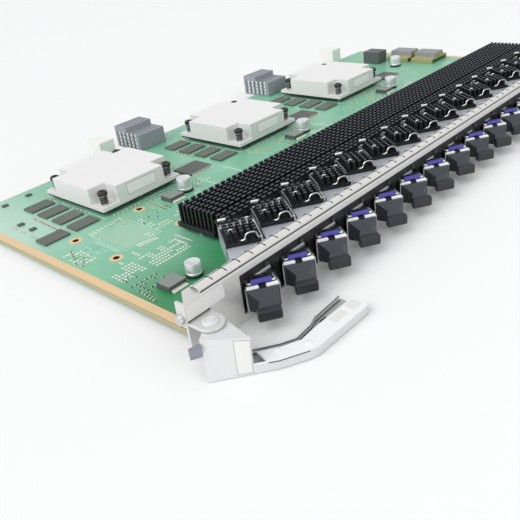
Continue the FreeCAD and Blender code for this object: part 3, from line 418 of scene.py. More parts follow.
def make_solder_mask():
    material = finish("solder_mask", (122, 186, 154), (104, 172, 137), (0.3, 0.42), 700, 0.03)
    tree = material.node_tree
    place = tree.nodes["Texture Coordinate"].outputs["Object"]
    inputs = {"Vector": place, "Scale": PATCH_SCALE}
    patches = add_node(tree, "TexVoronoi", inputs, distance="MANHATTAN").outputs["Color"]
    chance = add_node(tree, "SeparateColor", {"Color": patches}).outputs
    inputs = {"Vector": place, "Scale": LANE_SCALE, "Distortion": 0.0}
    lanes = [add_node(tree, "TexWave", inputs, bands_direction=axis).outputs["Fac"] for axis in "XY"]
    across = calculated(tree, "GREATER_THAN", chance["Red"], 0.5)
    lane = add_node(tree, "Mix", {"Factor": across, "A": lanes[0], "B": lanes[1]}).outputs["Result"]
    shown = calculated(tree, "MULTIPLY", ramp(tree, lane, *LANE_EDGE), chance["Green"])
    strength = calculated(tree, "MULTIPLY", shown, LANE_STRENGTH)
    lacquer = mixed(tree, strength, tree.nodes["Group"].outputs["Color"], linear(*LANE_GREEN))

    apart = add_node(tree, "SeparateXYZ", {"Vector": place}).outputs

    def smooth_ramp(axis, start, full):
        return ramp(tree, apart[axis], start * MM, full * MM, "SMOOTHSTEP")

    # Painted light: a pale haze mixed over the board's rear left corner.
    corner = calculated(tree, "MULTIPLY", smooth_ramp("X", *HAZE_LEFT), smooth_ramp("Y", *HAZE_BACK))
    with_painted_haze = mixed(tree, corner, lacquer, linear(*HAZE_GREEN))
    tone = mixed(tree, smooth_ramp("Y", COPPER_STARTS, COPPER_FULL), linear(*DEEP_GREEN), with_painted_haze)
    shader = tree.nodes["Principled BSDF"].inputs
    tree.links.new(tone, shader["Base Color"])
    shader["Coat Weight"].default_value = LACQUER
    shader["Coat Roughness"].default_value = LACQUER_ROUGH
    return material


def make_laminate():
    """Glass-fibre layers seen on the board's sawn edge."""
    material = finish("laminate", (200, 188, 152), (182, 168, 132), (0.5, 0.64), 1400, 0.06)
    tree = material.node_tree
    place = tree.nodes["Texture Coordinate"].outputs["Object"]
    inputs = {"Vector": place, "Scale": LAYER_SCALE, "Distortion": 0.6}
    layers = add_node(tree, "TexWave", inputs, bands_direction="Z").outputs["Fac"]
    tone = mixed(tree, layers, tree.nodes["Group"].outputs["Color"], linear(146, 138, 102))
    tree.links.new(tone, tree.nodes["Principled BSDF"].inputs["Base Color"])
    return material


solder_mask = make_solder_mask()
laminate = make_laminate()
print("board finishes:", solder_mask.name, laminate.name)

# %% [markdown]
# ## The board
# The board keeps the shape of its solid, with its edges just broken. Its flat sides get the solder
# mask, its sawn edges the layers. Bare copper runs along both long sides, where the card guides hold
# it. Copper is only a film, so a strip is a thin block and a ring is a thin disc with a hole.

# %% Board and guide strips
board = paint(node_copy("circuit_board", "board_plate", 0.12, 1), solder_mask, laminate, hole_copper)
board_low, board_high = corners("circuit_board")
RIM_REACH = 1.0


def is_rim(place):
    """Whether a place lies on the board's sawn outline."""
    sides = (place.x - board_low.x, board_high.x - place.x, place.y - board_low.y, board_high.y - place.y)
    return min(sides) < RIM_REACH


for face in board.data.polygons:
    flat = abs(face.normal.z) > FACING
    face.material_index = 0 if flat else 1 if is_rim(face.center / MM) else 2

FILM = 0.06
STRIP_WIDTH, STRIP_INSET, STRIP_START, STRIP_END = 4.2, 0.1, 9.6, 0.4
strips = []
for low_x in (board_low.x + STRIP_INSET, board_high.x - STRIP_INSET - STRIP_WIDTH):
    strip = block("guide_strip", (low_x, board_low.y + STRIP_START, BOARD_TOP),
                  (low_x + STRIP_WIDTH, board_high.y - STRIP_END, BOARD_TOP + FILM))
    strips.append(soften(strip, 0.02, 1))
guide_strips = paint(joined("guide_strips", strips), guide_copper)
print("board faces:", len(board.data.polygons))


# %% Plated rings
def pierce(plate, rim):
    """Turn a flat plate into a frame: both flat faces are inset by the rim's width, then bridged."""
    choose_faces(plate, lambda centre, normal: abs(normal.z) > FACING)
    bpy.ops.mesh.inset(thickness=rim * MM)
    bpy.ops.mesh.bridge_edge_loops()
    done_editing()
    return plate


RING_HOLE, RING_EDGE, RING_SIDES = 1.62, 3.3, 32
RING_PLACES = [(x, y) for x in (-172.9, -133.5) for y in (81.0, 114.2)]
disc = rod("ring", RING_EDGE, (0, 0, BOARD_TOP), (0, 0, BOARD_TOP + FILM), RING_SIDES)
ring = smooth(pierce(disc, RING_EDGE - RING_HOLE))
hole_rings = paint(copies(ring, "hole_rings", [shift(x, y) for x, y in RING_PLACES]), guide_copper)
print("rings:", len(RING_PLACES))

# %% [markdown]
# ## Hundreds of chip parts and bare pads
# Chip capacitors and resistors are small blocks with tinned ends, and many places on this board are
# left empty: a pair of tinned pads each. One of each kind is modelled, then copied along rows. Real
# rows have gaps, so a seeded dice leaves some places out.

# %% One chip part and one pair of pads
TIN_SHARE = 0.3


def chip_part(name, length, width, height, body_finish):
    """A ceramic block whose two ends are drawn out and tinned."""
    part = block(name, (-length / 2, -width / 2, BOARD_TOP), (length / 2, width / 2, BOARD_TOP + height))
    choose_faces(part, lambda centre, normal: abs(normal.x) > FACING)
    bpy.ops.mesh.extrude_region_shrink_fatten(TRANSFORM_OT_shrink_fatten={"value": TIN_SHARE * length * MM})
    done_editing()
    paint(part, body_finish, solder_tin)
    return two_tone(part, lambda centre, normal: abs(centre.x) > 0.5 * length)


def pad_pair(name, length, width, spacing):
    """Two flat pads: one film, its middle cut out by two cuts across it."""
    inner, outer = (spacing - length) / 2, (spacing + length) / 2
    film = block(name, (-outer, -width / 2, BOARD_TOP), (outer, width / 2, BOARD_TOP + FILM))
    cut(film, [(-inner, 0, 0), (inner, 0, 0)], (1, 0, 0))
    choose_faces(film, lambda centre, normal: abs(centre.x) < inner)
    bpy.ops.mesh.delete(type="FACE")
    bpy.ops.mesh.select_all(action="SELECT")
    bpy.ops.mesh.fill_holes(sides=4)
    done_editing()
    return paint(film, solder_tin)


# %% Rows with gaps
dice = random.Random(11)


def row(start, end, count, turn=0.0, share=1.0):
    """Places at equal steps from one point to another, each turned by a number of degrees."""
    start, end = Vector((*start, 0)), Vector((*end, 0))
    spin = Matrix.Rotation(math.radians(turn), 4, "Z")
    steps = [start.lerp(end, number / max(count - 1, 1)) for number in range(count)]
    return [Matrix.Translation(step * MM) @ spin for step in steps if dice.random() < share]


def grid(corner, columns, rows, step_x, step_y, turn=0.0, share=1.0):
    places = []
    for number in range(rows):
        y = corner[1] + number * step_y
        places.extend(row((corner[0], y), (corner[0] + (columns - 1) * step_x, y), columns, turn, share))
    return places


COOLER_COUNT, COOLER_WIDTH = 3, 52.3
cooler_low, cooler_high = corners("coolers")
cooler_pitch = (cooler_high.x - cooler_low.x - COOLER_WIDTH) / (COOLER_COUNT - 1)
COOLER_LEFT = [cooler_low.x + cooler_pitch * number for number in range(COOLER_COUNT)]
pad_places = (
    grid((-183.5, 61.0), 4, 5, 3.5, 2.3, 0, 0.8) + grid((-166.5, 58.5), 6, 6, 3.5, 2.4, 0, 0.75)
    + row((-159.8, 81.3), (-150.4, 79.7), 7, 90) + grid((-185.0, 90.0), 3, 6, 2.9, 2.9, 0, 0.5)
    + row((-143.4, 84.0), (-141.2, 106.0), 9, 0, 0.8) + row((-165.0, 112.6), (-146.0, 114.4), 9, 90, 0.8)
    + grid((-150.0, 63.0), 3, 4, 3.2, 3.1, 90, 0.6) + grid((-175.0, 74.5), 4, 2, 3.1, 2.6, 90, 0.6)
)
capacitor_places = (
    row((-170.4, 158.0), (-171.2, 134.0), 12, 0, 0.9) + row((-182.0, 158.0), (-182.6, 134.0), 9, 90, 0.7)
    + row((-66.7, 161.0), (-67.3, 143.0), 9, 0, 0.9) + row((-186.6, 36.9), (-185.4, 45.7), 5, 0)
    + grid((-186.0, 89.0), 3, 6, 2.4, 3.0, 0, 0.35)
)
resistor_places = (
    grid((-185.5, 43.5), 6, 5, 2.6, 2.5, 0, 0.7) + grid((-184.0, 59.0), 3, 2, 2.6, 2.4, 0, 0.8)
    + row((-178.5, 158.0), (-177.5, 147.5), 4, 90, 0.8) + row((-186.5, 93.0), (-181.0, 106.0), 6, 0, 0.8)
)
for left in COOLER_LEFT:
    capacitor_places += row((left - 1.5, 126.0), (left - 1.5, 176.0), 14, 0, 0.8)
    capacitor_places += row((left + 4.0, 120.6), (left + 26.0, 120.6), 9, 90, 0.8)
    capacitor_places += grid((left + 58.0, 142.0), 4, 6, 2.9, 3.6, 90, 0.6)
    capacitor_places += row((left + 6.0, 181.0), (left + 46.0, 181.0), 14, 90, 0.7)
    pad_places += grid((left + 30.0, 84.0), 5, 3, 3.4, 3.2, 0, 0.6)
    pad_places += grid((left + 60.0, 168.0), 5, 3, 3.2, 3.2, 0, 0.6)
    pad_places += grid((left - 4.0, 84.0), 9, 4, 3.6, 3.0, 0, 0.3)
    pad_places += grid((left + 42.0, 98.0), 7, 5, 3.4, 3.1, 0, 0.35)
    capacitor_places += grid((left + 0.5, 106.0), 9, 4, 3.1, 3.3, 90, 0.4)
    capacitor_places += grid((left + 43.0, 112.0), 6, 3, 2.8, 2.8, 0, 0.5)
    resistor_places += grid((left + 60.0, 84.0), 5, 5, 2.9, 3.0, 90, 0.5)
    resistor_places += grid((left + 6.0, 98.0), 6, 3, 2.9, 3.6, 0, 0.4)
for left in COOLER_LEFT:
    resistor_places += row((left + 28.0, 119.6), (left + 51.0, 119.6), 11, 90, 0.85)
    resistor_places += row((left + 26.0, 117.0), (left + 42.0, 117.0), 8, 90, 0.7)
    resistor_places += grid((left + 22.6, 100.6), 2, 4, 2.6, 1.6, 0)
    capacitor_places += row((left + 23.0, 108.6), (left + 23.0, 115.0), 4, 0)
chip_capacitors = copies(chip_part("chip_capacitor", 0.8, 0.8, 0.6, ceramic_tan), "chip_capacitors",
                         capacitor_places)
chip_resistors = copies(chip_part("chip_resistor", 0.7, 0.8, 0.4, screw_black), "chip_resistors",
                        resistor_places)
pad_pairs = copies(pad_pair("pad_pair", 1.05, 1.15, 1.75), "pad_pairs", pad_places)
print("chip parts:", len(capacitor_places) + len(resistor_places), "bare pairs:", len(pad_places))

# %% Small packages
TINY_CHIPS = [(-154.0, 192.0), (-169.5, 191.0), (-178.0, 158.0), (-177.6, 146.6), (-160.0, 46.0),
              (-76.0, 92.0), (-30.0, 96.0), (26.0, 96.0), (84.0, 92.0), (132.0, 96.0), (-20.0, 190.0),
              (30.0, 188.0)]
tiny = soften(block("tiny_chip", (-1.7, -1.3, BOARD_TOP), (1.7, 1.3, BOARD_TOP + 0.9)), 0.12, 1)
tiny_chips = paint(copies(tiny, "tiny_chips", [shift(x, y) for x, y in TINY_CHIPS]), chip_black)
print("small packages:", len(TINY_CHIPS))

# %% [markdown]
# ## Printed lines
# White printed frames mark where parts sit, and one place for a large chip is empty on this board.
# The lines could be painted on the board's finish, but thin films keep them sharp and easy to move.

# %% Printed frames
INK = FILM / 2


def printed_frame(name, low, high, line=0.35, foot=BOARD_TOP, height=INK):
    """A flat frame round a rectangle: ink on the board, or a rim of another height."""
    return pierce(block(name, (*low, foot), (*high, foot + height)), line)


def printed_line(x, start, end, width):
    """A straight line of ink along Y."""
    return block("ink", (x, start, BOARD_TOP), (x + width, end, BOARD_TOP + INK))


EMPTY_LOW, EMPTY_HIGH = (-166.2, 82.6), (-144.6, 110.6)
frames = [printed_frame("ink", EMPTY_LOW, EMPTY_HIGH, 0.25)]
for x, y, width, depth in ((-178.6, 92.0, 3.6, 5.0), (-174.2, 90.4, 3.2, 4.2), (-178.0, 98.6, 4.0, 4.4)):
    frames.append(printed_frame("ink", (x, y), (x + width, y + depth), 0.2))
for x in (-169.2, -167.9):
    frames.append(printed_line(x, 84.0, 104.0, 0.3))
for left in COOLER_LEFT:
    frames.append(printed_frame("ink", (left - 0.8, 121.6), (left + 53.2, 178.2)))
    frames.append(printed_frame("ink", (left + 58.4, 121.4), (left + 77.9, 137.8)))
for x in (-90.4, -70.2, 11.8):
    frames.append(printed_line(x, 99.0, 116.0, 0.5))
printed_lines = paint(joined("printed_lines", frames), silk_white)
print("printed frames and lines:", len(frames))

# %% The empty chip place
EMPTY_MARGIN = 1.2
empty_place = block("empty_place", (EMPTY_LOW[0] + EMPTY_MARGIN, EMPTY_LOW[1] + EMPTY_MARGIN, BOARD_TOP),
                    (EMPTY_HIGH[0] - EMPTY_MARGIN, EMPTY_HIGH[1] - EMPTY_MARGIN, BOARD_TOP + FILM / 3))
paint(soften(empty_place, 0.01, 1), bare_laminate)
pad = rod("ball_pad", 0.24, (0, 0, BOARD_TOP), (0, 0, BOARD_TOP + INK), 8)
pad_grid = grid((-163.6, 85.6), 15, 17, 1.2, 1.4)
bare_pads = paint(copies(pad, "bare_pads", pad_grid), ball_tin)
print("bare pads in the empty place:", len(pad_grid))

# %% [markdown]
# ## Front panel, gasket and bezel
# The panel is one folded sheet, so its folds are round. The gasket on its top flange is a half-round
# strip of spring fingers. Cutting each slit would cost many faces, so a dark line is laid on the
# strip for each slit. A dark line along the fold is painted shade, and so are the dark strips along
# the gasket's edges, where it meets the flange. A blank paper label covers the near end of the panel.


# %% The bent wire helper
def wire(name, points, radius, sides=2):
    """Round wire along a line of points, with its corners eased by the spline."""
    curve = bpy.data.curves.new(name, "CURVE")
    curve.dimensions = "3D"
    curve.bevel_depth = radius * MM
    curve.bevel_resolution = sides
    curve.use_fill_caps = True
    spline = curve.splines.new("NURBS")
    spline.points.add(len(points) - 1)
    for point, place in zip(spline.points, points):
        point.co = (*(Vector(place) * MM), 1)
    spline.order_u = 3
    spline.use_endpoint_u = True
    spline.resolution_u = 4
    alone(linked(name, curve))
    bpy.ops.object.convert(target="MESH")
    return smooth(bpy.context.object)


# %% Panel and gasket
panel = paint(node_copy("front_panel", "panel_sheet", 0.35, 3), panel_nickel)
gasket = paint(node_copy("emi_gasket", "gasket_strip"), gasket_steel)
gasket_low, gasket_high = corners("emi_gasket")
half_width, rise = (gasket_high.y - gasket_low.y) / 2, gasket_high.z - gasket_low.z
DARK_LINE_HEIGHT, FRONT_DARK_LINE, BACK_DARK_LINE = 0.1, 0.7, 0.5
SLIT_PITCH, SLIT_COUNT, SLIT_START, SLIT_ANGLES = 7.03, 53, 0.25, range(46, 179, 12)
SLIT_RADIUS, SLIT_SUNK, SLIT_PROUD = 0.28, 0.02, 0.02
FOLD_ANGLE, FOLD_RADIUS, FOLD_SUNK, FOLD_INSET = 112, 0.2, 0.12, 0.2


def on_gasket(x, angle, sunk):
    """A point on the half-round gasket: at an angle up from its front edge, sunk into its surface."""
    lean = math.radians(angle)
    return x, gasket_low.y + half_width * (1 - math.cos(lean)), gasket_low.z + rise * math.sin(lean) - sunk


# Dark strips along the gasket's front and back edges: where it meets the flange, with painted shadow under
# its edges.
dark_line_top = gasket_low.z + DARK_LINE_HEIGHT
dark_lines = [block("edge_dark_line", (gasket_low.x, y, gasket_low.z), (gasket_high.x, y + width, dark_line_top))
         for y, width in ((gasket_low.y - FRONT_DARK_LINE, FRONT_DARK_LINE), (gasket_high.y, BACK_DARK_LINE))]
slit_line = wire("slit_line", [on_gasket(0, angle, SLIT_SUNK) for angle in SLIT_ANGLES], SLIT_RADIUS, 1)
for corner in slit_line.data.vertices:
    corner.co.z = min(corner.co.z, (gasket_high.z + SLIT_PROUD) * MM)
slit_places = [shift(gasket_low.x + SLIT_PITCH * number + SLIT_START, 0)
               for number in range(1, SLIT_COUNT + 1)]
dark_lines.append(copies(slit_line, "slit_lines", slit_places))
# A dark line along the gasket's fold, painted shade.
fold_points = [on_gasket(x, FOLD_ANGLE, FOLD_SUNK)
               for x in (gasket_low.x + FOLD_INSET, 0, gasket_high.x - FOLD_INSET)]
dark_lines.append(wire("fold_shade_line", fold_points, FOLD_RADIUS, 1))
gasket_dark_lines = paint(joined("gasket_dark_lines", dark_lines), joint_and_shade_dark)
print("gasket slits:", SLIT_COUNT)

# %% Label, dark lines by the ears, and cages
PANEL_LABEL = ((-199.1, -0.08, 15.9), (-181.2, 0.0, 21.7))
EAR_LINE_START, EAR_LINE_END, EAR_LINE_LOW, EAR_LINE_HIGH, EAR_LINE_FILM = 188.6, 199.3, 15.05, 15.6, 0.05
panel_label = paint(soften(block("panel_label", *PANEL_LABEL), 0.03, 1), label_paper)
# Thin dark strips on the panel face, one at each end, just below the label's level.
ear_lines = [block("ear_line", (low, -EAR_LINE_FILM, EAR_LINE_LOW), (high, 0.0, EAR_LINE_HIGH))
        for low, high in ((-EAR_LINE_END, -EAR_LINE_START), (EAR_LINE_START, EAR_LINE_END))]
ear_dark_lines = paint(joined("ear_dark_lines", ear_lines), bezel_black)
cages = paint(node_copy("transceiver_cages", "port_cages", 0.1, 1), cage_steel)
plain_nodes = {"port_bezel": bezel_black, "light_pipes": pipe_clear, "thermal_pads": pad_grey,
               "processors": chip_black, "sink_standoffs": screw_steel, "cooler_nuts": screw_steel}
for node, material in plain_nodes.items():
    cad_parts[node].material_slots[0].material = material
print("solids that keep their own mesh:", len(plain_nodes))

# %% [markdown]
# ## Optical modules
# A module is a nickel box whose head carries a socket, a white-lipped keyway and a wire bail with a
# blue grip. It is modelled once, lying along Y with its front at the origin, and then turned into
# each slanted port. Its socket is the front face, inset and pushed in: no cut by another shape is
# needed for it.

# %% Port places
PORTS = sum(node.startswith("dust_plug_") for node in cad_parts)
FIRST_PORT, PORT_PITCH, PORT_TILT, PORT_PROUD = -172.4, 21.1, 35.0, 1.06
PORT_TURN = Matrix.Rotation(math.radians(-PORT_TILT), 4, "Z")
port_places = [shift(FIRST_PORT + number * PORT_PITCH, -PORT_PROUD, BOARD_TOP) @ PORT_TURN
               for number in range(PORTS)]


def one_per_port(model, name):
    """A numbered copy of a model in every port. The model goes away."""
    pieces = [copy_at(model, f"{name}_{number:02d}", place)
              for number, place in enumerate(port_places, start=1)]
    bpy.data.objects.remove(model)
    return pieces


print("ports:", PORTS, "turned by", PORT_TILT, "degrees")

# %% One module, sixteen times
HEAD_WIDTH, HEAD_LENGTH, HEAD_HEIGHT = 13.56, 9.0, 10.0
SOCKET_WALL, SOCKET_DEPTH = 1.1, 8.0
BODY_END, BODY_LOW, BODY_HIGH, BODY_GAP = 58.0, 0.35, 8.95, 0.08
LIPS = ((0.7, 5.3), (8.26, 12.86))
MIDDLE = HEAD_WIDTH / 2


def model_bail():
    """The wire bail over the head, and its grip."""
    side, reach, foot = 1.35, 6.4, HEAD_HEIGHT + 0.35
    bar_y, bar_z = 2.05, HEAD_HEIGHT + 0.55
    loop = [(side, reach, foot), (side, 5.0, bar_z), (side, bar_y, bar_z), (2.6, bar_y, bar_z),
            (HEAD_WIDTH - 2.6, bar_y, bar_z), (HEAD_WIDTH - side, bar_y, bar_z),
            (HEAD_WIDTH - side, 5.0, bar_z), (HEAD_WIDTH - side, reach, foot)]
    bail = paint(wire("bail", loop, 0.4), wire_steel)
    grip = rod("grip", 1.05, (2.8, bar_y, bar_z + 0.5), (10.8, bar_y, bar_z + 0.5), 20)
    return [bail, paint(soften(grip, 0.3), bail_blue)]


def model_module():
    head = block("head", (0, 0, 0), (HEAD_WIDTH, HEAD_LENGTH, HEAD_HEIGHT))
    choose_faces(head, lambda centre, normal: normal.y < -FACING)
    bpy.ops.mesh.inset(thickness=SOCKET_WALL * MM)
    bpy.ops.mesh.extrude_region_move(TRANSFORM_OT_translate={"value": (0, SOCKET_DEPTH * MM, 0)})
    done_editing()
    paint(soften(head, 0.3), module_nickel)
    body = block("body", (BODY_GAP, HEAD_LENGTH - 0.4, BODY_LOW),
                 (HEAD_WIDTH - BODY_GAP, BODY_END, BODY_HIGH))
    pieces = [head, paint(soften(body, 0.3), module_nickel)]
    for low, high in LIPS:
        lip = block("lip", (low, -0.1, 8.72), (high, 1.3, HEAD_HEIGHT + 0.1))
        pieces.append(paint(soften(lip, 0.15), white_and_highlight))
    key = block("key", (MIDDLE - 1.3, -0.06, 8.8), (MIDDLE + 1.3, 1.6, HEAD_HEIGHT + 0.04))
    pieces.append(paint(soften(key, 0.1), bezel_black))
    pieces.extend(model_bail())
    half_latch = ((1.6, -0.1), (1.6, 1.5), (0.9, 1.9))
    latch = [(MIDDLE - aside, 4.5, HEAD_HEIGHT + up) for aside, up in half_latch]
    latch += [(MIDDLE + aside, 4.5, HEAD_HEIGHT + up) for aside, up in reversed(half_latch)]
    pieces.append(paint(wire("latch", latch, 0.32), bezel_black))
    return joined("module_model", pieces)


modules = one_per_port(model_module(), "module")
print("modules:", len(modules))

# %% [markdown]
# ## Dust plugs
# Each plug is one moulding: a flange on the module's face, a waist that slopes down to a pull bar,
# and an insert in the socket. The waist starts as a block whose front face and middle are drawn in.
# Its left side and its front are painted a darker grey, as painted shade.

# %% One plug, sixteen times
FLANGE = ((0.6, -1.4, 0.65), (12.96, 0.0, 9.35))
INSERT = ((1.9, -0.2, 1.75), (11.66, 6.5, 8.25))
PULL_BAR = ((2.2, -10.0, 0.7), (11.36, -6.7, 5.3))
WAIST_FRONT, WAIST_MIDDLE, WAIST_FOOT = -6.9, -4.4, 0.75
FRONT_DRAWN, MIDDLE_DRAWN = (0.68, 1, 0.54), (0.56, 1, 0.9)
# How far a face turns left, and how far forward it lies, to get the painted shade.
SHADE_TURN, SHADE_FRONT = -0.25, -8.0


def model_plug():
    flange = soften(block("flange", *FLANGE), 0.45, 3)
    insert = soften(block("insert", *INSERT), 0.3)
    waist = block("waist", (0.9, WAIST_FRONT, WAIST_FOOT), (12.66, -1.2, 9.2))
    choose_faces(waist, lambda centre, normal: normal.y < -FACING)
    front = Vector((MIDDLE, WAIST_FRONT, WAIST_FOOT)) * MM
    bpy.ops.transform.resize(value=FRONT_DRAWN, center_override=front)
    bpy.ops.mesh.select_all(action="SELECT")
    bpy.ops.mesh.bisect(plane_co=(0, WAIST_MIDDLE * MM, 0), plane_no=(0, 1, 0))
    middle = Vector((MIDDLE, WAIST_MIDDLE, WAIST_FOOT)) * MM
    bpy.ops.transform.resize(value=MIDDLE_DRAWN, center_override=middle)
    done_editing()
    soften(waist, 0.35, 3)
    bar = soften(block("bar", *PULL_BAR), 0.75, 4)
    plug = paint(joined("plug_model", [flange, insert, waist, bar]), plug_rubber, plug_painted_shade)
    # Faces on the plug's left side and front get the painted shade.
    return two_tone(plug, lambda centre, normal: normal.x < SHADE_TURN or centre.y < SHADE_FRONT)


plugs = one_per_port(model_plug(), "plug")
print("plugs:", len(plugs))

# %% [markdown]
# ## Pin heat sinks and their wire clips
# Black anodised pins keep the solids' shape, with each edge broken so that it catches light. The top
# ends of the pins are painted a lighter grey, a painted highlight. A bright wire clip hooks over each
# small heat sink: it has a finger hump at its front, two crests between the pins and a flat bar at its
# back. The crests' lower parts are painted black and the left side wire a dim grey, both painted
# shade, and the bar is painted white, a painted highlight. Bent wire is drawn as a curve and made a
# mesh, because a curve keeps its round section through every bend.


# %% Heat sinks
def pin_sink(node, name):
    sink = paint(node_copy(node, name, 0.14, 1), black_anodised, pin_painted_highlight)
    top = levels(node)[1]
    # Upward faces at the top of the pins get the painted highlight.
    return two_tone(sink, lambda centre, normal: centre.z > top - 0.2 and normal.z > 0.5)


rider_sinks = pin_sink("cage_heat_sinks", "rider_sinks")
long_sink = pin_sink("long_heat_sink", "long_sink")
print("heat sink faces:", len(rider_sinks.data.polygons) + len(long_sink.data.polygons))

# %% Clips
CLIP_LEFT, CLIP_RIGHT, CLIP_FRONT, CLIP_BACK = -1.0, 14.6, 33.9, 51.3
CLIP_LEVEL, CLIP_HOOK = 12.4, 5.2
# Below this level the crests are painted black, as painted shade among the pins.
CREST_SHADE_TOP = CLIP_LEVEL + 2.6


def model_clip():
    """Wire up from the cage, across the front with its hump, and back along the sides to a flat bar."""
    left, right, front, back = CLIP_LEFT, CLIP_RIGHT, CLIP_FRONT, CLIP_BACK
    level, hook = CLIP_LEVEL, CLIP_HOOK
    main = [(5.6, front + 2, level - 1), (5.8, front + 0.6, level - 0.4), (6.2, front, level),
            (7.4, front, level), (8.0, front, level + 2.4), (9.6, front, level + 2.9),
            (11.6, front, level + 2.9), (12.8, front, level + 2.0), (13.2, front, level),
            (right - 0.6, front, level), (right, front, level), (right, front + 2, level),
            (right, back - 2, level), (right, back, level), (right - 2, back, level),
            (left + 2, back, level), (left, back, level), (left, back, level - 1), (left, back, hook)]
    near, far = 38.25, 46.95
    loops = [[(3.4, near, level - 1), (3.4, near, level + 3.4), (2.4, near, level + 4.0),
              (1.5, near, level + 3.2), (1.5, near, level - 1)],
             [(12.2, far, level - 1), (12.2, far, level + 3.4), (11.2, far, level + 3.9),
              (10.2, far, level + 3.4), (10.2, far, level - 1)],
             [(left + 1, back - 0.5, level + 3.0), (left, back - 0.5, level + 3.0),
              (left, back - 0.5, level)]]
    side = [(left, back, level), (left - 0.2, 46.0, level), (left, 40.0, level),
            (left, front + 1, level - 1), (left, front, level - 3), (left, front, hook)]
    leg = [(right, front, level - 0.2), (right, front, level - 3.4), (right, front, hook)]
    wires = paint(joined("clip_wires", [wire("clip", line, 0.36) for line in (main, leg)]), wire_steel)
    crests = joined("clip_crests", [wire("clip", line, 0.34) for line in loops])
    # The crests' lower parts get the black as painted shade.
    paint(crests, wire_steel, black_anodised)
    two_tone(crests, lambda centre, normal: centre.z < CREST_SHADE_TOP)
    # The left side wire is painted a dim grey, as painted shade.
    side_wire = paint(wire("clip", side, 0.24), painted_shade_grey)
    bar = block("clip", (left, back - 1.0, level + 2.7), (left + 3.6, back, level + 3.5))
    # The bar is painted white, a painted highlight.
    return joined("clip_model", [wires, crests, side_wire, paint(soften(bar, 0.2), white_and_highlight)])


sink_clips = copies(model_clip(), "sink_clips", port_places)
print("clips:", len(port_places))

# %% [markdown]
# ## Coolers with sprung screws
# A cooler is a pale blasted block on a thin plate. Black screws hold it through coil springs. A coil
# is a small circle swept by the Screw modifier, which gives its rise and its turns in one step, and a
# screw head is turned from its outline, as on a lathe.

# %% Coolers and their labels
coolers = paint(node_copy("coolers", "cooler_blocks", 0.35, 3), cooler_aluminium)
COOLER_FRONT, COOLER_DEPTH = cooler_low.y, cooler_high.y - cooler_low.y
SCREW_INSET = 4.6
LABEL_START, LABEL_END, LABEL_FOOT, LABEL_HEAD, LABEL_SHADE_MARGIN = 17.0, 36.0, 3.6, 1.6, 0.3
SHADE_FRAME_INSET, SHADE_FRAME_DROP, SHADE_FRAME_RIM = 0.3, 1.0, 1.6


def front_plate(name, left, margin, thickness):
    """A thin plate on a cooler's front, larger than its label by a margin."""
    low = (left + LABEL_START - margin, COOLER_FRONT - thickness, cooler_low.z + LABEL_FOOT - margin)
    high = (left + LABEL_END + margin, COOLER_FRONT, cooler_high.z - LABEL_HEAD + margin)
    return block(name, low, high)


papers = [soften(front_plate("cooler_label", left, 0.0, 0.08), 0.03, 1) for left in COOLER_LEFT]
# Grey rims round the cooler labels, painted shade at their edges.
edge_shades = [front_plate("cooler_label_shade", left, LABEL_SHADE_MARGIN, 0.04) for left in COOLER_LEFT]
cooler_labels = joined("cooler_labels", [paint(joined("label_papers", papers), white_and_highlight),
                                         paint(joined("label_edge_shades", edge_shades), label_edge_shade)])
# Painted shade: a dark frame hanging under each cooler's plate, for the shadow between the plate and the
# board.
shade_frames = [printed_frame("cooler_shade_frame", (left + SHADE_FRAME_INSET, COOLER_FRONT + SHADE_FRAME_INSET),
                       (left + COOLER_WIDTH - SHADE_FRAME_INSET, COOLER_FRONT + COOLER_DEPTH - SHADE_FRAME_INSET),
                       SHADE_FRAME_RIM, cooler_low.z - SHADE_FRAME_DROP, SHADE_FRAME_DROP) for left in COOLER_LEFT]
cooler_shade_frames = paint(joined("cooler_shade_frames", shade_frames), joint_and_shade_dark)
screw_places = [shift(left + x, COOLER_FRONT + y) for left in COOLER_LEFT
                for x in (SCREW_INSET, COOLER_WIDTH - SCREW_INSET)
                for y in (SCREW_INSET, COOLER_DEPTH - SCREW_INSET)]
print("coolers:", len(COOLER_LEFT))

# %% The lathe helper
SEAM_BELOW = 0.001


def turned(name, outline, steps=32):
    """A shape turned on a lathe, from the radius and height of each point of its outline."""
    mesh = bpy.data.meshes.new(name)
    points = [Vector((radius, 0, height)) * MM for radius, height in outline]
    mesh.from_pydata(points, [(number, number + 1) for number in range(len(points) - 1)], [])
    piece = linked(name, mesh)
    alone(piece)
    lathe = piece.modifiers.new("lathe", "SCREW")
    lathe.steps = steps
    lathe.render_steps = steps
    lathe.use_merge_vertices = True
    lathe.merge_threshold = SEAM_BELOW * MM
    bpy.ops.object.modifier_apply(modifier=lathe.name)
    edit_all(piece)
    bpy.ops.mesh.remove_doubles(threshold=SEAM_BELOW * MM)
    bpy.ops.mesh.normals_make_consistent(inside=False)
    done_editing()
    return smooth(piece)


# %% Coil springs and screws
WIRE_SIDES, COIL_STEPS = 8, 18


def coil(name, radius, wire_radius, low, high, turns):
    """A spring: a circle of wire swept round and up."""
    bpy.ops.mesh.primitive_circle_add(vertices=WIRE_SIDES, radius=wire_radius * MM,
                                      rotation=(math.pi / 2, 0, 0),
                                      location=Vector((radius, 0, low + wire_radius)) * MM)
    piece = placed(name)
    sweep = piece.modifiers.new("sweep", "SCREW")
    sweep.axis = "Z"
    sweep.angle = 2 * math.pi * turns
    sweep.screw_offset = (high - low - 2 * wire_radius) * MM
    sweep.steps = int(COIL_STEPS * turns)
    sweep.render_steps = sweep.steps
    bpy.ops.object.modifier_apply(modifier=sweep.name)
    edit_all(piece)
    bpy.ops.mesh.fill_holes(sides=WIRE_SIDES)
    bpy.ops.mesh.normals_make_consistent(inside=False)
    done_editing()
    return smooth(piece)


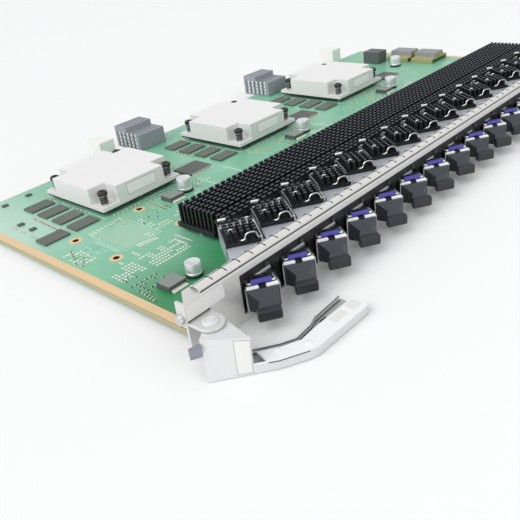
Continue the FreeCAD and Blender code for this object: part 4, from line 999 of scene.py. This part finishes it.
spring_low, spring_high = levels("cooler_springs")
screw_low, screw_high = levels("cooler_screws")
spring = coil("spring", 1.85, 0.36, spring_low, spring_high, 3.5)
springs = paint(copies(spring, "coil_springs", screw_places), screw_black)


def model_cooler_screw():
    shank = rod("shank", 1.25, (0, 0, screw_low), (0, 0, spring_high + 0.1))
    outline = [(0, spring_high), (2.6, spring_high), (2.7, spring_high + 0.2), (2.7, screw_high - 0.8),
               (2.4, screw_high - 0.3), (1.8, screw_high - 0.05), (1.2, screw_high),
               (1.1, screw_high - 0.7), (0, screw_high - 0.7)]
    head = turned("head", outline, 24)
    return joined("screw_model", [paint(head, screw_black), paint(shank, screw_steel)])


cooler_screws = copies(model_cooler_screw(), "sprung_screws", screw_places)
print("springs and screws:", len(screw_places))

# %% [markdown]
# ## Chips, cans and rear connectors
# Moulded packages get broken edges and leads. Aluminium cans are turned shapes: an outline swept
# round by the Screw modifier, with a groove near the foot and a rolled rim. The can nearest to the
# panel is of a smaller size. The rear connectors get rows of contacts, dark slits and ridges.

# %% Chips and leads
memory = paint(node_copy("memory_chips", "memory_packages", 0.18, 1), memory_grey)
chips = paint(node_copy("small_chips", "chip_packages", 0.22, 1), chip_black, power_grey)
POWER_TOP = BOARD_TOP + 2.6
two_tone(chips, lambda centre, normal: normal.z > 0.5 and abs(centre.z - POWER_TOP) < 0.1)
LEAD_HALF, LEAD_REACH = 0.3, 0.7


def model_lead():
    """A gull-wing lead that leaves a package along +Y and steps down to the board."""
    shoulder = block("lead", (-LEAD_HALF, -0.3, BOARD_TOP + 0.9), (LEAD_HALF, 0.9, BOARD_TOP + 1.15))
    drop = block("lead", (-LEAD_HALF, LEAD_REACH, BOARD_TOP), (LEAD_HALF, 0.95, BOARD_TOP + 1.15))
    toe = block("lead", (-LEAD_HALF, LEAD_REACH, BOARD_TOP), (LEAD_HALF, 2.0, BOARD_TOP + 0.22))
    return paint(joined("lead_model", [shoulder, drop, toe]), solder_tin)


POWER_CHIPS = [(-179.7, 35.36)] + [(left + 29.35, 103.68) for left in COOLER_LEFT]
POWER_WIDTH, POWER_DEPTH = 9.4, 8.8
CHIP_GAP, CHIP_DEPTH, LEAD_START, LEAD_END = 7.2, 14.4, 1.5, 15.8
lead_places = []
tabs = []
for x, y in POWER_CHIPS:
    lead_places += row((x + 1.0, y + POWER_DEPTH), (x + POWER_WIDTH - 1.0, y + POWER_DEPTH), 6)
    tab = block("tab", (x + 0.8, y - 2.2, BOARD_TOP), (x + POWER_WIDTH - 0.8, y + 0.4, BOARD_TOP + 0.9))
    tabs.append(paint(soften(tab, 0.15, 1), solder_tin))
for left in COOLER_LEFT:
    chip_x = left + COOLER_WIDTH + CHIP_GAP
    for y, turn in ((COOLER_FRONT + CHIP_DEPTH, 0), (COOLER_FRONT, 180)):
        lead_places += row((chip_x + LEAD_START, y), (chip_x + LEAD_END, y), 12, turn)
chip_leads = copies(model_lead(), "chip_leads", lead_places)
chip_tabs = joined("chip_tabs", tabs)
print("leads:", len(lead_places))

# %% Cans
CAN_PLACES = [(-164.1, 37.6), (-104.84, 109.5), (-2.94, 109.5), (98.96, 109.5), (153.34, 139.6)]
foot_top = BOARD_TOP + 1.2
can_top = levels("capacitors")[1]
can_outline = [(0, foot_top - 0.2), (3.8, foot_top - 0.2), (4.0, foot_top + 0.2), (4.0, foot_top + 0.9),
               (3.75, foot_top + 1.2), (3.75, foot_top + 1.5), (4.0, foot_top + 1.8), (4.0, can_top - 0.5),
               (3.85, can_top - 0.15), (3.5, can_top), (3.3, can_top - 0.12), (0, can_top - 0.12)]
foot_outline = [(0, BOARD_TOP), (4.25, BOARD_TOP), (4.3, BOARD_TOP + 0.3), (4.3, foot_top - 0.2),
                (4.1, foot_top), (0, foot_top)]
can = paint(turned("can", can_outline), can_aluminium)
foot = paint(turned("can_foot", foot_outline), bezel_black)
NEAR_CAN = Matrix.Diagonal((0.88, 0.88, 0.84, 1))
on_board = shift(0, 0, BOARD_TOP)
can_shapes = [NEAR_CAN] + [Matrix.Identity(4)] * (len(CAN_PLACES) - 1)
cans = copies(joined("can_model", [can, foot]), "can_capacitors",
              [shift(x, y) @ on_board @ shape @ on_board.inverted()
               for (x, y), shape in zip(CAN_PLACES, can_shapes)])
print("cans:", len(CAN_PLACES))

# %% Rear connectors
CONNECTOR_WIDTH = 21.0
connector_low, connector_high = corners("backplane_connectors")
CONNECTOR_LEFT = (connector_low.x, connector_high.x - CONNECTOR_WIDTH)
CONTACT_COLUMNS, CONTACT_ROWS = 5, 4
COLUMN_STEP, CONTACT_STEP = 4.2, 2.5
CONTACT_START, CONTACT_FOOT, GAP_START = 189.5, 2.4, 191.6
RIDGES = ((189.4, 10.5), (193.0, 10.5), (196.4, 10.5), (201.6, 14.0), (205.0, 14.0), (208.4, 14.0))
connectors = paint(node_copy("backplane_connectors", "rear_connectors", 0.3), connector_grey)
contact = soften(block("contact", (-0.12, -0.5, -0.8), (0.12, 0.5, 0.8)), 0.1, 2)
slit = block("slit", (-0.06, -0.35, 0.9), (0.06, 0.35, 10.6))
ridge = block("ridge", (0.8, -0.3, -0.1), (20.2, 0.3, 0.06))
contact_places, gap_places, ridge_places = [], [], []
for left in CONNECTOR_LEFT:
    for column in range(CONTACT_COLUMNS):
        along = COLUMN_STEP * column
        gap_places.append(shift(left, GAP_START + along, BOARD_TOP))
        for level in range(CONTACT_ROWS):
            up = BOARD_TOP + CONTACT_FOOT + CONTACT_STEP * level
            contact_places.append(shift(left, CONTACT_START + along, up))
    ridge_places += [shift(left, y, BOARD_TOP + level) for y, level in RIDGES]
slits = joined("slits", [copies(slit, "slits", gap_places), copies(ridge, "ridges", ridge_places)])
rear_contacts = joined("rear_contacts", [paint(copies(contact, "contacts", contact_places), guide_cream),
                                         paint(slits, bezel_black)])
print("contacts:", len(contact_places))

# %% Guide sockets and power modules
CORE_HEIGHT = 2.6
sockets = paint(node_copy("guide_sockets", "guide_blocks", 0.45, 3), guide_cream)
converters = paint(node_copy("power_modules", "power_converters", 0.3), core_ferrite, pad_grey)
core_top = levels("power_modules")[1]
two_tone(converters, lambda centre, normal: centre.z > core_top - CORE_HEIGHT)
print("power modules reach", round(core_top, 2), "mm")

# %% [markdown]
# ## Levers
# The levers are folded sheet with a bright plated finish. Two pressed dimples and two blank labels
# lie on each handle, and a third blank label on the web, which leans: its grid is laid on the slope
# point by point. The handle's top and its dimples are painted lighter, as painted light. The handle's
# floor and the nose are painted darker, and a dark line lies along the handle's fold, all painted
# shade. The left lever is dressed first, and the right one is its mirror image.

# %% The leaning web and its label
HANDLE_TOP, HANDLE_FLOOR = 3.8, 1.3
RIVET_RADIUS = 3.0
rivet_low, rivet_high = corners("lever_rivets")
PIVOT = (rivet_low.x + RIVET_RADIUS, (rivet_low.y + rivet_high.y) / 2)
WEB_FOOT = ((-12.1, -8.0), (0.2, -18.1))
WEB_HEAD = ((-8.5, -3.2), (2.0, -16.8))
WEB_LOW, WEB_HIGH = levels("ejector_lever_left")


def web_place(along, up):
    """A point on the outer side of the leaning web, from its share of the length and of the height."""
    foot = Vector(WEB_FOOT[0]).lerp(Vector(WEB_FOOT[1]), along)
    head = Vector(WEB_HEAD[0]).lerp(Vector(WEB_HEAD[1]), along)
    flat = foot.lerp(head, up) + Vector(PIVOT)
    return Vector((flat.x, flat.y, WEB_LOW + (WEB_HIGH - WEB_LOW) * up)) * MM


def web_label(name, start, end, low, high, thickness, material):
    """A bare label on the web: a grid laid on its slope, then given a thickness outwards."""
    bpy.ops.mesh.primitive_grid_add(x_subdivisions=8, y_subdivisions=4, size=1)
    sheet = bpy.context.object
    sheet.name = name
    for corner in sheet.data.vertices:
        along = start + (end - start) * (corner.co.x + 0.5)
        corner.co = web_place(along, low + (high - low) * (corner.co.y + 0.5))
    shell = sheet.modifiers.new("shell", "SOLIDIFY")
    shell.thickness = thickness * MM
    shell.offset = 1
    bpy.ops.object.modifier_apply(modifier=shell.name)
    return paint(sheet, material)


# %% The left lever and its mirror image
def mirrored_copy(piece, name):
    """The same piece for the other end of the panel, with its faces turned the right way out."""
    twin = copy_at(piece, name, Matrix.Scale(-1, 4, (1, 0, 0)))
    twin.data.flip_normals()
    return twin


NOSE_SIDE, NOSE_FRONT, NOSE_LOW, NOSE_HIGH = -203.0, -11.5, 8.0, 12.8
LEVEL_NEAR = 0.2


def lever_zone(centre, normal):
    """Which of the lever's finishes a face gets: 1, painted shade, on its nose; 2, painted shade, on its
    handle's floor; 3, painted light, on its handle's top; and else 0.
    """
    if centre.x < NOSE_SIDE and centre.y > NOSE_FRONT and NOSE_LOW < centre.z < NOSE_HIGH:
        return 1
    if normal.z > FACING and abs(centre.z - HANDLE_FLOOR) < LEVEL_NEAR:
        return 2
    return 3 if normal.z > FACING and abs(centre.z - HANDLE_TOP) < LEVEL_NEAR else 0


lever_sheet = paint(node_copy("ejector_lever_left", "lever_sheet_left", 0.22),
                    lever_nickel, painted_shade_grey, lever_painted_shade, lever_painted_light)
# The nose and the handle's floor get painted shade, and the handle's top gets painted light.
for face in lever_sheet.data.polygons:
    face.material_index = lever_zone(face.center / MM, face.normal)
FOLD_SHADE_LINE = [(-189.8, -26.8), (-187.2, -29.0), (-186.9, -29.2), (-182.0, -31.85), (-177.2, -34.4)]
DIMPLES = ((-183.1, -24.7), (-174.0, -31.2))
DIMPLE_OUTLINE = [(0, 0.3), (1.1, 0.27), (1.5, 0.1), (1.6, -0.2), (0, -0.2)]
TAGS = (((-160.0, -32.2), (-152.0, -28.4)), ((-149.6, -32.8), (-144.6, -28.2)))
WEB_LABEL_SHADE, WEB_PAPER = (0.645, 0.985, 0.04, 0.95), (0.66, 0.972, 0.06, 0.93)
BUMPER_LOW, BUMPER_HIGH = (-161.5, -27.2, HANDLE_FLOOR), (-158.2, -25.9, HANDLE_FLOOR + 2.0)
# A dark line along the handle's fold, painted shade.
fold_shade = wire("fold_shade_line", [(x, y, HANDLE_TOP - 0.06) for x, y in FOLD_SHADE_LINE], 0.17, 1)
lever_pieces = [lever_sheet, paint(fold_shade, joint_and_shade_dark)]
for x, y in DIMPLES:
    dimple = turned("dimple", DIMPLE_OUTLINE, 20)
    dimple.data.transform(shift(x, y, HANDLE_TOP))
    # The dimples get the painted light of the handle's top.
    lever_pieces.append(paint(dimple, lever_painted_light))
# A grey rim round the web label, painted shade at its edge.
lever_pieces.append(web_label("label_edge_shade", *WEB_LABEL_SHADE, 0.05, label_edge_shade))
lever_pieces.append(web_label("label", *WEB_PAPER, 0.1, label_paper))
for low, high in TAGS:
    tag = soften(block("tag", (*low, HANDLE_TOP), (*high, HANDLE_TOP + 0.06)), 0.02, 1)
    lever_pieces.append(paint(tag, label_paper))
bumper = soften(block("bumper", BUMPER_LOW, BUMPER_HIGH), 0.2)
lever_pieces.append(paint(bumper, bezel_black))
lever_left = joined("lever_sheet_left", lever_pieces)
lever_right = mirrored_copy(lever_left, "lever_sheet_right")
print("lever pieces:", len(lever_pieces))

# %% Lock strips, rivets and screws
LOCK_SHADE_BAND = 0.5


def lock_strip(side):
    """The lock strip, its sides cut into three bands: the edge bands are painted shade and the middle is
    bright.
    """
    strip = node_copy(f"lever_lock_{side}", f"lock_strip_{side}", 0.12)
    low, high = levels(f"lever_lock_{side}")
    low_edge, high_edge = low + LOCK_SHADE_BAND, high - LOCK_SHADE_BAND
    cut(strip, [(0, 0, low_edge), (0, 0, high_edge)], (0, 0, 1))
    # The edge bands of the strip's sides get painted shade.
    paint(strip, lever_nickel, joint_and_shade_dark)

    def is_shade_band(centre, normal):
        return abs(normal.z) < 0.5 and not low_edge < centre.z < high_edge

    return two_tone(strip, is_shade_band)


locks = [lock_strip(side) for side in ("left", "right")]
rivet_foot, rivet_top = levels("lever_rivets")
rivet_outline = [(0, rivet_foot), (2.9, rivet_foot), (RIVET_RADIUS, rivet_foot + 0.8),
                 (1.9, rivet_foot + 0.8), (1.9, rivet_top - 0.8), (RIVET_RADIUS, rivet_top - 0.8),
                 (2.95, rivet_top - 0.4), (2.6, rivet_top - 0.15), (1.9, rivet_top - 0.1),
                 (1.7, rivet_top - 0.3), (1.5, rivet_top), (0, rivet_top)]
rivet = turned("rivet", rivet_outline)
rivets = paint(copies(rivet, "pivot_rivets", [shift(*PIVOT), shift(-PIVOT[0], PIVOT[1])]), lever_nickel)
panel_screws = paint(node_copy("panel_screws", "panel_fixings", 0.3, 3), screw_steel)
print("lock strips:", len(locks))

# %% [markdown]
# ## What each piece stands for
# A dressed piece moves with the body of its solid, and the plain solid is hidden behind it. Pieces
# that no solid stands for ride on the board.

# %% Bodies, replaced solids and slots
dressed = [
    (board, "board", "circuit_board"), (panel, "panel_nickel", "front_panel"),
    (gasket, "gasket_steel", "emi_gasket"), (cages, "cage_steel", "transceiver_cages"),
    (rider_sinks, "black_anodised", "cage_heat_sinks"), (long_sink, "black_anodised", "long_heat_sink"),
    (sink_clips, "spring_steel", "heat_sink_clips"), (coolers, "cooler_aluminium", "coolers"),
    (springs, "spring_steel", "cooler_springs"), (cooler_screws, "screw_black", "cooler_screws"),
    (memory, "memory_grey", "memory_chips"), (chips, "chip_black", "small_chips"),
    (cans, "can_aluminium", "capacitors"), (connectors, "connector_grey", "backplane_connectors"),
    (sockets, "guide_cream", "guide_sockets"), (converters, "module_core", "power_modules"),
    (rivets, "nut_steel", "lever_rivets"), (panel_screws, "nut_steel", "panel_screws"),
]
for piece, slot, node in dressed:
    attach(piece, "board")
    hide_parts(node)
added = [(guide_strips, "board"), (hole_rings, "board"), (chip_capacitors, "chip_black"),
         (chip_resistors, "chip_black"), (printed_lines, "board"), (bare_pads, "board"),
         (panel_label, "guide_cream"), (cooler_labels, "guide_cream"), (chip_leads, "nut_steel"),
         (chip_tabs, "nut_steel"), (rear_contacts, "guide_cream"), (pad_pairs, "board"),
         (tiny_chips, "chip_black"), (empty_place, "board"), (gasket_dark_lines, "gasket_steel"),
         (ear_dark_lines, "panel_nickel"), (cooler_shade_frames, "chip_black")]
for piece, slot in added:
    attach(piece, "board")
lever_parts = [(lever_left, "lever_left", "ejector_lever_left"),
               (lever_right, "lever_right", "ejector_lever_right"),
               (locks[0], "lock_left", "lever_lock_left"), (locks[1], "lock_right", "lever_lock_right")]
for piece, body, node in lever_parts:
    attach(piece, body)
    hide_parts(node)
for number, (module, plug) in enumerate(zip(modules, plugs), start=1):
    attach(module, f"transceiver_{number:02d}")
    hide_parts(f"transceiver_{number:02d}")
    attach(plug, f"dust_plug_{number:02d}")
    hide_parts(f"dust_plug_{number:02d}")
print("pieces:", sum(len(rows) for rows in (dressed, added, lever_parts, modules, plugs)))

# %% [markdown]
# ## Floor, light and camera
# A white floor under even light shows the card as a catalogue does. The world gives most of the light,
# a wide, far lamp on the left gives soft shadows, a weak one fills the front, and the camera stands
# low at the near corner.

# %% Floor
bpy.ops.object.select_all(action="DESELECT")
FLOOR_SIZE = 60.0
bpy.ops.mesh.primitive_plane_add(size=FLOOR_SIZE, location=(0, 0, 0))
floor = bpy.context.object
floor.name = "floor"
floor_paper = finish("floor_paper", (235, 235, 235), (234, 234, 234), (0.8, 0.9), 20, 0.0)
paint(floor, floor_paper)
print("floor:", FLOOR_SIZE, "m wide")

# %% Light
scene = bpy.context.scene
scene.view_settings.view_transform = "Standard"
world = bpy.data.worlds.new("studio")
scene.world = world
world.use_nodes = True
sky = world.node_tree.nodes["Background"]
SKY_TONE, SKY_STRENGTH = (0.96, 0.97, 0.98, 1), 0.74
sky.inputs["Color"].default_value = SKY_TONE
sky.inputs["Strength"].default_value = SKY_STRENGTH


def lamp(kind, name, place, aim, energy):
    """A light at a place (m), turned towards its aim."""
    bpy.ops.object.light_add(type=kind, location=place)
    light = bpy.context.object
    light.name = name
    light.data.energy = energy
    light.rotation_euler = (Vector(aim) - Vector(place)).to_track_quat("-Z", "Y").to_euler()
    return light.data


sun = lamp("SUN", "key_sun", (-1.2, 0.3, 1.2), (0.0, 0.0, 0.0), 1.8)
sun.angle = math.radians(55)
fill = lamp("AREA", "front_fill", (-0.2, -1.3, 0.5), (-0.1, 0.0, 0.0), 4.0)
fill.shape = "SQUARE"
fill.size = 1.0
print("lights: the sky, a sun of", round(sun.energy, 2), "and a fill of", round(fill.energy, 2), "W")

# %% Camera
CAMERA_PLACE = Vector((-305.96, -151.3, 138.0)) * MM
CAMERA_RIGHT = Vector((0.6685, -0.7335, -0.1235))
CAMERA_UP = Vector((0.4357, 0.2517, 0.8642))
CAMERA_LENS, CAMERA_SENSOR = 44.72, 36.0
camera_data = bpy.data.cameras.new("photo_camera")
camera_data.sensor_width = CAMERA_SENSOR
camera_data.lens = CAMERA_LENS
camera_data.clip_start = 0.01
camera = linked("photo_camera", camera_data)
right = CAMERA_RIGHT.normalized()
back = right.cross(CAMERA_UP).normalized()
upward = back.cross(right)
axes = Matrix((right, upward, back)).transposed().to_4x4()
camera.matrix_world = Matrix.Translation(CAMERA_PLACE) @ axes
scene.camera = camera
print("camera lens:", CAMERA_LENS, "mm")
